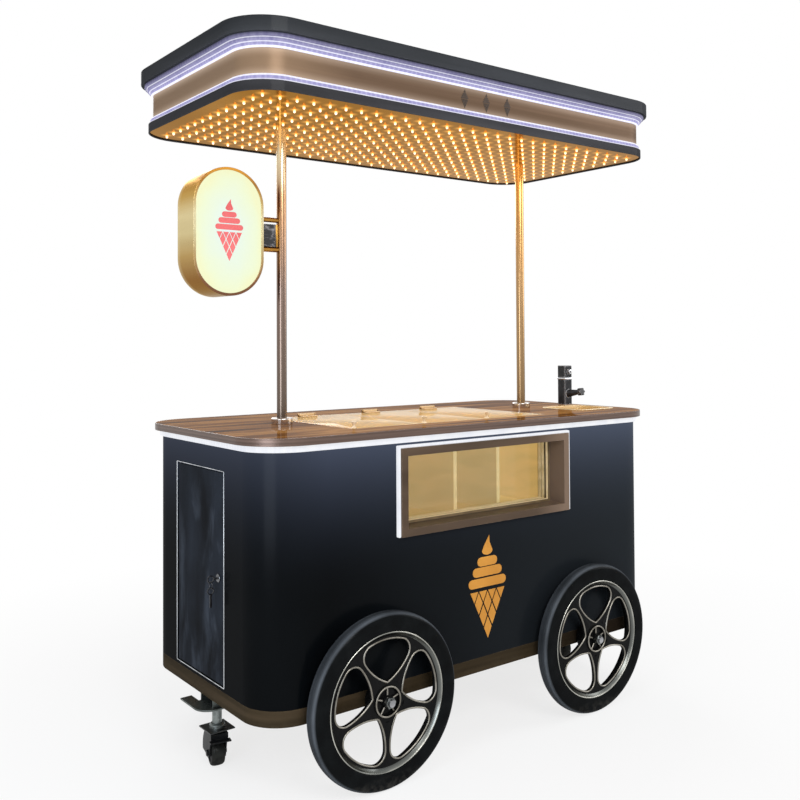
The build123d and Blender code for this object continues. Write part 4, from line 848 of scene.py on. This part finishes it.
def mirrorCeiling(look):
    mat, tree, shader = startMaterial("bronzeMirror")
    smoke = cloud(tree, 2.6, 5.0)
    steps = [calc(tree, "DIVIDE", run, look["pitch"] * mm) for run in axes(tree)[:2]]
    # a painted glow round each bulb on the mirror, within the grid
    far = apart(tree, *[calc(tree, "PINGPONG", step, 0.5) for step in steps])
    halo = calc(tree, "POWER", fit(tree, far, 0.1, 0.5, 1.0, 0.0), 2.0)
    for step, count in zip(steps, (look["columns"], look["rows"])):
        halo = times(tree, halo, calc(tree, "LESS_THAN", calc(tree, "ABSOLUTE", step), count / 2))
    plug(tree, shader, {"Base Color": shades(tree, smoke, look["tones"]), "Metallic": 1.0,
                        "Roughness": vary(tree, smoke, 0.06, 0.16),
                        "Specular Tint": look["edgeTint"], "Emission Color": look["halo"],
                        "Emission Strength": times(tree, halo, look["haloStrength"])})
    return mat


def bulbs(look):
    mat, tree, shader = startMaterial("warmBulb")
    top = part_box("ceiling_bulbs")[1].z
    r = look["bulbRadius"]
    drop = fit(tree, axes(tree)[2], top - 2 * r * mm, top)
    speck = vary(tree, cloud(tree, 30.0, 2.0), -0.2, 0.2)
    side = addNode(tree, "LayerWeight", {"Blend": 0.5}).outputs["Facing"]
    colour = ramp(tree, calc(tree, "ADD", drop, speck), look["bulbTones"])
    colour = blend(tree, fit(tree, side, 0.2, 0.8), colour, look["bulbSide"])
    plug(tree, shader, {"Base Color": colour, "Emission Color": colour, "Roughness": 0.2,
                        "Emission Strength": fit(tree, side, 0.15, 0.85, *look["bulbStrength"])})
    shape = ((0, 0), (1, 0), (1, 0.2), (0.84, 0.3), (0.9, 0.7), (0.88, 1.2), (0.72, 1.6), (0.4, 1.9),
             (0, 2))
    hanging = [(a * r, -h * r) for a, h in shape]
    grid = bmesh.new()
    for column in range(look["columns"]):
        for row in range(look["rows"]):
            x = (column - (look["columns"] - 1) / 2) * look["pitch"] * mm
            y = (row - (look["rows"] - 1) / 2) * look["pitch"] * mm
            lathe(grid, hanging, (x, y, top), alongZ, 12)
    addPiece("ceiling_bulb_grid", grid, mat, "cart", ["ceiling_bulbs"])


dress(mirrorCeiling(ceiling), "canopy_ceiling")
bulbs(ceiling)
print("canopy lit")


# posts

# painted light and reflections on the posts: each post shaded differently, brighter towards the canopy,
# with reflected streaks and a darker rim along the edges
post = {
    "left": ((102, 91, 82), (124, 105, 95), (172, 132, 96), (255, 242, 202)),  # foot to top, painted light: brighter towards the canopy, each post lit differently
    "right": ((138, 113, 82), (172, 138, 98), (196, 148, 92), (250, 198, 112)),
    "levels": (0.0, 0.45, 0.76, 0.95), "reflectedStreak": (120, 98, 80), "rim": (84, 68, 56),
}


def rosePost(look):
    mat, tree, shader = startMaterial("roseGold")
    lo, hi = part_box("canopy_posts")
    x, y, z = axes(tree)
    height = fit(tree, z, lo.z, hi.z)
    left, right = [ramp(tree, height, list(zip(look["levels"], look[key]))) for key in ("left", "right")]
    colour = blend(tree, calc(tree, "GREATER_THAN", x, 0.0), left, right)
    # painted reflections: faint lengthwise streaks
    reflectedLines = fit(tree, cloud(tree, 3.0, 3.0, stretch=(60, 60, 0.2)), 0.4, 0.7)
    colour = blend(tree, times(tree, reflectedLines, 0.12), colour, look["reflectedStreak"])
    # painted shade: darker where the post turns away
    side = addNode(tree, "LayerWeight", {"Blend": 0.35}).outputs["Facing"]
    colour = blend(tree, fit(tree, side, 0.5, 0.9), colour, look["rim"])
    plug(tree, shader, {"Base Color": colour, "Roughness": fit(tree, reflectedLines, 0.0, 1.0, 0.2, 0.28),
                        "Metallic": 1.0})
    return mat


dress(rosePost(post), "canopy_posts")
flange = {"tones": ((188, 178, 170), (222, 214, 208)), "scale": 30.0, "rough": (0.05, 0.12), "metal": 1.0}
dress(finish("mirrorSteel", flange), "post_flanges", edge=0.8)
print("posts finished")


# round sign

signBand = {
    "tones": ((0.0, (118, 80, 60)), (0.12, (136, 96, 68)), (0.3, (184, 156, 108)),
              (0.48, (214, 202, 160)), (0.62, (224, 212, 170)), (0.76, (196, 164, 104)),
              (0.88, (170, 120, 58)), (1.0, (236, 168, 66))),  # foot to top, painted reflections: brown low down, pale in the middle, an orange glow at the top
    "back": (226, 216, 184), "brush": (116, 84, 46), "edgeTint": (236, 216, 178),
}


def brushedGold(look):
    mat, tree, shader = startMaterial("brushedGold")
    lo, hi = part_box("sign_band")
    x, y, z = axes(tree)
    colour = ramp(tree, fit(tree, z, lo.z, hi.z), look["tones"])
    # paler towards the back, a painted reflection
    rear = fit(tree, y, lo.y + 0.8 * (hi.y - lo.y), hi.y, 0.0, 0.5)
    colour = blend(tree, rear, colour, look["back"])
    brush = cloud(tree, 3.0, 3.0, stretch=(12, 1, 12))
    colour = blend(tree, vary(tree, brush, 0.0, 0.1), colour, look["brush"])
    plug(tree, shader, {"Base Color": colour, "Roughness": vary(tree, brush, 0.2, 0.28),
                        "Metallic": 1.0, "Specular Tint": look["edgeTint"]})
    return mat


dress(brushedGold(signBand), "sign_band", edge=0.8)
bracket = {"tones": ((156, 110, 46), (192, 144, 70)), "scale": 20.0, "rough": (0.16, 0.28), "metal": 1.0}
bracketGold = finish("bracketGold", bracket)
dress(bracketGold, "sign_bracket", edge=0.6)

# the whitish streaks on the dark cover are painted reflections
box = {
    "base": (34, 34, 37), "reflectedStreak": (178, 178, 184), "width": 18.0, "strap": 8.0, "strapProud": 0.6,
    "gap": 0.2, "edge": 1.5, "strapEdge": 1.2,
}


def reflectionStreakedBox(look):
    mat, tree, shader = startMaterial("reflectionStreakedBox")
    # whitish streaks that paint reflections on a dark glossy cover
    reflectedStreak = fit(tree, cloud(tree, 2.0, 5.0, 1.2, (14, 24, 30)), 0.5, 0.72)
    plug(tree, shader, {"Base Color": blend(tree, times(tree, reflectedStreak, 0.6), look["base"], look["reflectedStreak"]),
                        "Roughness": fit(tree, reflectedStreak, 0.0, 1.0, 0.12, 0.4)})
    return mat


def junction(look):  # slim dark cover between the arms, with a gold strap at the post
    lo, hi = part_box("sign_junction_box")
    half = look["width"] / 2 * mm
    wide = half + look["strapProud"] * mm
    split = hi.x - look["strap"] * mm
    cover = bmesh.new()
    roundedBox(cover, (lo.x, -half, lo.z), (split - look["gap"] * mm, half, hi.z), look["edge"])
    addPiece("junction_cover", cover, reflectionStreakedBox(look), "cart", ["sign_junction_box"])
    strap = bmesh.new()
    roundedBox(strap, (split, -wide, lo.z), (hi.x, wide, hi.z), look["strapEdge"])
    addPiece("junction_strap", strap, bracketGold, "cart")


junction(box)

signFace = {
    "tones": ((0.1, (232, 250, 250)), (0.5, (239, 252, 232)), (0.84, (244, 253, 216)),
              (1.0, (248, 251, 204))),  # middle to edge
    "strength": 0.83,
}


def litFace(look):
    mat, tree, shader = startMaterial("litFace")
    lo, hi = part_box("sign_faces")
    middle = (lo + hi) / 2
    place = axes(tree)
    x, z = [calc(tree, "DIVIDE", calc(tree, "SUBTRACT", place[i], middle[i]), (hi[i] - lo[i]) / 2)
            for i in (0, 2)]
    far = apart(tree, x, z)
    haze = vary(tree, cloud(tree, 9.0, 3.0), -0.12, 0.12)
    colour = ramp(tree, calc(tree, "ADD", far, haze), look["tones"])
    plug(tree, shader, {"Base Color": blend(tree, 0.93, colour, (62, 62, 54)), "Emission Color": colour,
                        "Emission Strength": look["strength"], "Specular IOR Level": 0.1, "Roughness": 0.3})
    return mat


dress(litFace(signFace), "sign_faces")
print("sign lit")


# cone motif on the panel, the fascia and the sign

motif = {
    "thickness": 0.8, "scale": 8.0, "rough": (0.4, 0.5), "gloss": 0.3,
    "tierTall": 0.066, "tiers": ((0.07, 0.36), (0.225, 0.28), (0.37, 0.19)),  # level and half width
    "tipFoot": (0.1, 0.52), "tipSag": 0.6, "tip": ((-0.06, 0.6), (0.04, 0.74), (0.045, 0.64)),
    "apex": (0, -0.76), "mouth": (0.34, -0.04), "cells": 4, "gap": 0.14, "ownHeight": 1.5,
    "panel": (-5.0, 490.0, 330.0),  # across, up, height
    "fascia": (8.0, 92.0, 62.0),  # shift, pitch, height
    "sign": (4.0, 190.0),  # lift, height
    "amber": ((184, 122, 38), (200, 138, 52)), "umber": ((54, 42, 33), (68, 54, 43)),
    "coral": ((208, 92, 94), (222, 112, 112)),
}


def coneMotif(bm, look, middle, height, right, out):
    unit = height / look["ownHeight"] * mm

    def lay(points):
        slab(bm, [middle + (right * x + alongZ * z) * unit for x, z in points], out, look["thickness"])

    tall = look["tierTall"]
    for z, half in look["tiers"]:  # soft scoops, each a rounded bar
        ends = ((half - tall, -pi / 2), (tall - half, pi / 2))
        lay([(x + u, z + v) for x, start in ends for u, v in arc(tall, pi, 12, start)])
    wide, level = look["tipFoot"]
    lay([*((u, level - look["tipSag"] * v) for u, v in arc(wide, pi, 12)), *look["tip"]])
    apex = Vector(look["apex"])
    x, z = look["mouth"]
    arms = [Vector((side * x, z)) - apex for side in (-1, 1)]
    count = look["cells"]
    for i in range(count):  # waffle cells, half ones along the top
        for j in range(count - i):
            whole = ((i, j), (i + 1, j), (i + 1, j + 1), (i, j + 1))
            corners = whole if i + j + 2 <= count else ((i, j), (i + 1, j), (i, j + 1))
            spots = [apex + arms[0] * a / count + arms[1] * b / count for a, b in corners]
            core = sum(spots, Vector((0, 0))) / len(spots)
            lay([core + (spot - core) * (1 - look["gap"]) for spot in spots])


def motifs(look):
    vinyl = {}
    for shade in ("amber", "umber", "coral"):
        vinyl[shade] = finish(shade + "Vinyl", dict(look, tones=look[shade]))
    x, z, height = look["panel"]
    panel = bmesh.new()
    coneMotif(panel, look, Vector((x * mm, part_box("front_panel")[0].y, z * mm)), height, alongX, -alongY)
    addPiece("panel_motif", panel, vinyl["amber"], "cart")

    lo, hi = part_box("canopy_fascia")
    shift, pitch, height = look["fascia"]
    row = bmesh.new()
    for i in (-1, 0, 1):
        middle = Vector(((shift + pitch * i) * mm, lo.y, (lo.z + hi.z) / 2))
        coneMotif(row, look, middle, height, alongX, -alongY)
    addPiece("fascia_motif", row, vinyl["umber"], "cart")

    lo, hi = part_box("sign_faces")
    lift, height = look["sign"]
    pair = bmesh.new()
    for y, right, out in ((lo.y, alongX, -alongY), (hi.y, -alongX, alongY)):
        middle = Vector(((lo.x + hi.x) / 2, y, (lo.z + hi.z) / 2 + lift * mm))
        coneMotif(pair, look, middle, height, right, out)
    addPiece("sign_motif", pair, vinyl["coral"], "cart")


motifs(motif)
print("motifs laid")


# big wheels

wheel = {
    "rimInner": 183.4, "rimOuter": 196.4, "rimRise": 7.2, "rimRoll": 2.4, "beadRadius": 2.7,
    "hubRadius": 42.0, "hubLevel": 20.0, "ribStart": 18.0, "ribLevel": 15.0, "spokeLevel": 15.0,
    "spokes": 5, "sink": 0.02, "petalReach": 50.0,
    "ridges": ((58.0, 9.0, 3.0), (168.0, 7.0, 0.6)),  # distance from the hub, half width, height
    "tread": ((53.6, 20), (53.2, 23.2), (51.6, 24.3), (48, 24.7), (42, 24), (36, 24.4), (25, 25),
              (15, 24.2), (9.5, 22), (7.6, 20.6), (6.2, 20.4), (4.4, 18.2), (1.8, 13), (0.9, 10.2),
              (2.4, 9.6), (2.4, 8.4), (0.5, 7.8), (0, 0)),  # depth under the crown, half width
    # the rim colours paint its highlight, darker inside and bright along the outer edge
    "rimInside": (78, 80, 78), "rimMiddle": (112, 114, 110), "rimEdgeHighlight": (196, 195, 186),
}
rubber = {
    "tones": ((8, 9, 10), (11, 13, 14), (16, 18, 19)), "scale": 20.0, "rough": (0.36, 0.5),
    "pore": 900.0, "relief": 0.06, "dust": (64, 62, 58), "dustTop": 0.05, "coat": (0.1, 0.2),
}
# the shoulder band is a painted highlight, paler grey where light catches the tyre's shoulder
roadRubber = dict(rubber, shoulderHighlight=(240.5, 246.5, 252.0, (88, 93, 99)))
casting = {
    "tones": ((13, 13, 14), (20, 20, 20)), "scale": 16.0, "rough": (0.22, 0.36), "relief": 0.03,
    "coat": (0.14, 0.2),
}
beadMetal = {
    "tones": ((112, 108, 99), (134, 130, 121), (158, 154, 146)), "scale": 18.0, "rough": (0.24, 0.38),
    "metal": 0.9,
}


def rimSilver(look):  # painted highlight: grey on the slope, bright along the outer edge
    mat, tree, shader = startMaterial("rimSilver")
    slope = fit(tree, hubDistance(tree), look["rimInner"] * mm, look["rimOuter"] * mm)
    reflectedStreak = cloud(tree, 7.0, 5.0)
    shade = calc(tree, "ADD", slope, vary(tree, reflectedStreak, -0.22, 0.22))
    stops = ((0.0, look["rimInside"]), (0.62, look["rimMiddle"]), (0.96, look["rimEdgeHighlight"]))
    plug(tree, shader, {"Base Color": ramp(tree, shade, stops), "Metallic": 1.0,
                        "Roughness": vary(tree, reflectedStreak, 0.16, 0.3)})
    return mat


def spokeBars(bm, count, centre, facing, first, ends):  # ends holds two (distance, section) pairs
    for i in range(count):
        angle = first + 2 * pi * i / count
        out = alongX * cos(angle) + alongZ * sin(angle)
        across = out.cross(facing)
        rails = [[bm.verts.new(centre + (out * d + across * u + facing * v) * mm) for u, v in section]
                 for d, section in ends]
        bridge(bm, rails, closed=False)
        bm.faces.new(rails[0][::-1])
        bm.faces.new(rails[1])


def bigWheels(look):
    tyreRubber = finish("tyreRubber", roadRubber)
    blackCasting = finish("blackCasting", casting)
    bronze = finish("beadBronze", beadMetal)
    silver = rimSilver(look)
    inner = look["rimInner"]
    outer = look["rimOuter"]
    roll = 0.8 * look["rimRoll"]
    low = look["spokeLevel"]
    high = low + look["rimRise"] - 0.4
    dished = [(inner, low), (inner + 0.4, low + 0.6), (outer - 2 * roll, high)]
    dished += [(outer - roll + roll * u, high + 0.75 * roll * v) for u, v in arc(1.0)[::-1]]
    dished.append((outer, high - 0.8))
    sunk = low - look["sink"]
    bar = arc(look["beadRadius"])
    hub = look["hubRadius"]
    hubRing = [(hub + u, look["hubLevel"] - look["sink"] + v) for u, v in bar]
    rib = [(u, look["ribLevel"] - look["sink"] + v) for u, v in bar]
    petalBead = [(u + 0.6 * look["beadRadius"], v - look["sink"]) for u, v in bar]
    ridgeEnds = []
    for d, half, rise in look["ridges"]:
        flank = ((-half, 0), (-0.35 * half, 0.8 * rise), (0, rise), (0.35 * half, 0.8 * rise), (half, 0))
        ridgeEnds.append((d, [(u, sunk + v) for u, v in flank]))
    for name in ("front_left", "front_right", "rear_left", "rear_right"):
        body = name + "_road_wheel"
        lo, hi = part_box(name + "_tyre")
        centre = Vector(jointOf[body]["pos_m"])
        facing = -alongY if centre.y < 0 else alongY
        radius = (hi.z - lo.z) / 2 / mm
        side = [(radius - depth, half) for depth, half in look["tread"]]
        tyre = bmesh.new()
        lathe(tyre, mirrored(side), centre, facing, 128)
        addPiece(name + "_tyre_rubber", tyre, tyreRubber, body, [name + "_tyre"], 50)
        dress(blackCasting, name + "_wheel", edge=1.6)

        rimRing = bmesh.new()
        lathe(rimRing, dished, centre, facing, 128)
        addPiece(name + "_rim_ring", rimRing, silver, body, (), 60)

        beads = bmesh.new()
        face = centre + facing * low * mm
        for outline in faceOutlines(name + "_wheel", face.y):
            reach = [(point - face).length for point in outline]
            if max(reach) - min(reach) > look["petalReach"] * mm:  # a petal, not a circle
                sweepLoop(beads, outline, facing, petalBead)
        lathe(beads, hubRing, centre, facing, 64)
        spokeBars(beads, look["spokes"], centre, facing, pi / 2, ((look["ribStart"], rib), (hub, rib)))
        addPiece(name + "_beads", beads, bronze, body, (), 60)

        ridges = bmesh.new()
        spokeBars(ridges, look["spokes"], centre, facing, -pi / 2, ridgeEnds)
        addPiece(name + "_spoke_ridges", ridges, blackCasting, body, (), 30)


bigWheels(wheel)
zincLook = {
    "tones": ((70, 72, 71), (112, 115, 113), (166, 169, 167)), "scale": 70.0, "rough": (0.2, 0.38),
    "relief": 0.08, "metal": 1.0,
}
dress(finish("brightZinc", zincLook), "axle_nuts", edge=1.0)
print("wheels on")


# end casters

caster = {
    "plateTop": 0.1185, "stemTop": 0.1945, "black": (18, 19, 19), "zinc": (134, 140, 138),
    "grey": (106, 112, 109), "mottle": (40, 42, 42),
    "tread": ((40, 0), (39.6, 9), (38.4, 14.5), (35.6, 18.6), (31, 20)),  # radius, half width
    "bore": 5.1, "coreRadius": 31.0, "coreDish": 3.0,
}


def bracketZones(look):  # black top plate, plated stem, grey bracket, split by height
    mat, tree, shader = startMaterial("casterBracket")
    z = axes(tree)[2]
    mottle = cloud(tree, 50.0, 6.0)
    overPlate = calc(tree, "GREATER_THAN", z, look["plateTop"])
    overStem = calc(tree, "GREATER_THAN", z, look["stemTop"])
    colour = blend(tree, overPlate, look["black"], look["zinc"])
    colour = blend(tree, overStem, colour, look["grey"])
    colour = blend(tree, fit(tree, mottle, 0.36, 0.66, 0.0, 0.5), colour, look["mottle"])
    plug(tree, shader, {"Base Color": colour, "Metallic": times(tree, overPlate, 0.85),
                        "Roughness": vary(tree, mottle, 0.24, 0.46)})
    addRelief(tree, shader, mottle, 0.08)
    return mat


def casters(look):
    dress(bracketZones(look), "caster_brackets", edge=0.8)
    hood = finish("hoodBlack", dict(blackSteel, tones=((16, 17, 18), (26, 27, 29)), rough=(0.3, 0.45)))
    dress(hood, "caster_left_fork", "caster_right_fork", edge=0.8)
    casterRubber = finish("casterRubber", dict(rubber, tones=((26, 27, 26), (36, 37, 35), (46, 47, 44))))
    casterCore = finish("casterCore", dict(blackSteel, tones=((26, 26, 27), (40, 40, 41))))
    r = look["coreRadius"]
    face = look["tread"][-1][1]
    sunk = face - look["coreDish"]
    lip = face - 0.4
    flank = [(look["bore"], face), (11, face), (13, sunk), (r - 6, sunk), (r - 3, lip), (r - 0.1, lip)]
    for side in ("left", "right"):
        body = side + "_caster_wheel"
        centre = Vector(jointOf[body]["pos_m"])
        axis = Vector(jointOf[body]["axis"]).normalized()
        tread = bmesh.new()
        lathe(tread, mirrored(look["tread"]), centre, axis, 64)
        addPiece(f"caster_{side}_tread", tread, casterRubber, body,
                 [f"caster_{side}_wheel"], 50)
        core = bmesh.new()
        lathe(core, mirrored(flank), centre, axis, 64)
        addPiece(f"caster_{side}_core", core, casterCore, body)


casters(caster)

unit = {"tones": ((44, 46, 48), (58, 60, 62)), "scale": 22.0, "rough": (0.5, 0.65), "edgeWearAndHighlight": (110, 110, 108)}
dress(finish("unitGrey", unit), "condensing_unit", edge=1.5)
tank = {
    "tones": ((206, 210, 206), (224, 227, 223)), "scale": 6.0, "rough": (0.42, 0.55),
    "sockets": {"Subsurface Weight": 0.2, "Subsurface Scale": 0.01},
}
dress(finish("tankMilky", tank), "water_tanks", edge=4.0, segments=3)
print("casters and cabinet contents in place")


# floor, light and camera

stage = {
    "floorSize": 60.0, "floorColour": (0.86, 0.86, 0.86, 1.0), "shadowShare": 0.24, "fade": (0.9, 2.6),
    "worldLight": 0.5,
}


def seenDirectly(tree):  # 1 for camera, mirror and glass rays
    path = addNode(tree, "LightPath").outputs
    seen = calc(tree, "MAXIMUM", path["Is Camera Ray"], path["Is Glossy Ray"])
    return calc(tree, "MAXIMUM", seen, path["Is Transmission Ray"])


def paleFloor(look):  # white when seen directly, with a soft shadow near the cart
    mat = bpy.data.materials.new("paleFloor")
    tree = emptyTree(mat)
    matte = addNode(tree, "BsdfDiffuse", {"Color": look["floorColour"]}).outputs[0]
    white = addNode(tree, "Emission", {"Strength": 1.0}).outputs[0]
    away = addNode(tree, "VectorMath", {0: coords(tree)}, operation="LENGTH").outputs["Value"]
    share = fit(tree, away, *look["fade"], look["shadowShare"], 0.0)
    seen = addNode(tree, "MixShader", {0: share, 1: white, 2: matte}).outputs[0]
    mixed = addNode(tree, "MixShader", {0: seenDirectly(tree), 1: matte, 2: seen}).outputs[0]
    addNode(tree, "OutputMaterial", {"Surface": mixed})
    return mat


def studio(look):
    bm = bmesh.new()
    bmesh.ops.create_grid(bm, x_segments=1, y_segments=1, size=look["floorSize"] / 2)
    floor = placeMesh("studio_floor", bm, paleFloor(look))
    scene.world = bpy.data.worlds.new("studio")
    tree = emptyTree(scene.world)
    level = fit(tree, seenDirectly(tree), 0.0, 1.0, look["worldLight"], 1.0)
    sky = addNode(tree, "Background", {"Color": (1, 1, 1, 1), "Strength": level}).outputs[0]
    addNode(tree, "OutputWorld", {"Surface": sky})


studio(stage)

lampTarget = Vector((0, 0, 0.9))
lamps = {
    "key": {"place": (-1.2, -4.6, 3.4), "size": (2.6, 2.0), "power": 138.0},
    "side": {"place": (-2.1, -1.1, 1.02), "size": (0.85, 1.3), "power": 17.0, "colour": (0.8, 0.89, 1.0)},
    "fill": {"place": (4.2, -2.4, 2.6), "size": (2.4, 2.4), "power": 66.0},
    "back": {"place": (1.0, 4.6, 3.2), "size": (3.0, 2.0), "power": 90.0},
}


def addLamps(look):
    for name, lamp in look.items():
        light = bpy.data.lights.new(name, "AREA")
        light.shape = "RECTANGLE"
        light.size, light.size_y = lamp["size"]
        light.energy = lamp["power"]
        light.color = lamp.get("colour", (1, 1, 1))
        obj = putInScene(name, light)
        obj.location = lamp["place"]
        aim = lampTarget - obj.location
        obj.rotation_euler = aim.to_track_quat("-Z", "Y").to_euler()


addLamps(lamps)

view = {
    "place": (-1.99454, -2.61083, 1.27514), "yaw": 38.27, "pitch": 1.24, "roll": -0.34,
    "imageSide": 800.0, "focal": 928.7, "axisPoint": (427.3, 320.12),  # in pixels of the square image
}


def addCamera(look):
    yaw, pitch, roll = [radians(look[key]) for key in ("yaw", "pitch", "roll")]
    ahead = Vector((sin(yaw) * cos(pitch), cos(yaw) * cos(pitch), sin(pitch)))
    right = Vector((cos(yaw), -sin(yaw), 0))
    over = right.cross(ahead)
    tiltedRight = right * cos(roll) + over * sin(roll)
    tiltedOver = over * cos(roll) - right * sin(roll)
    lens = bpy.data.cameras.new("photoView")
    lens.sensor_width = 36.0
    lens.lens = look["focal"] / look["imageSide"] * lens.sensor_width
    lens.shift_x = 0.5 - look["axisPoint"][0] / look["imageSide"]
    lens.shift_y = look["axisPoint"][1] / look["imageSide"] - 0.5
    turn = Matrix((tiltedRight, tiltedOver, -ahead)).transposed().to_4x4()
    scene.camera = putInScene("photoView", lens)
    scene.camera.matrix_world = Matrix.Translation(look["place"]) @ turn


addCamera(view)
scene.view_settings.view_transform = "Standard"
print("stage set")
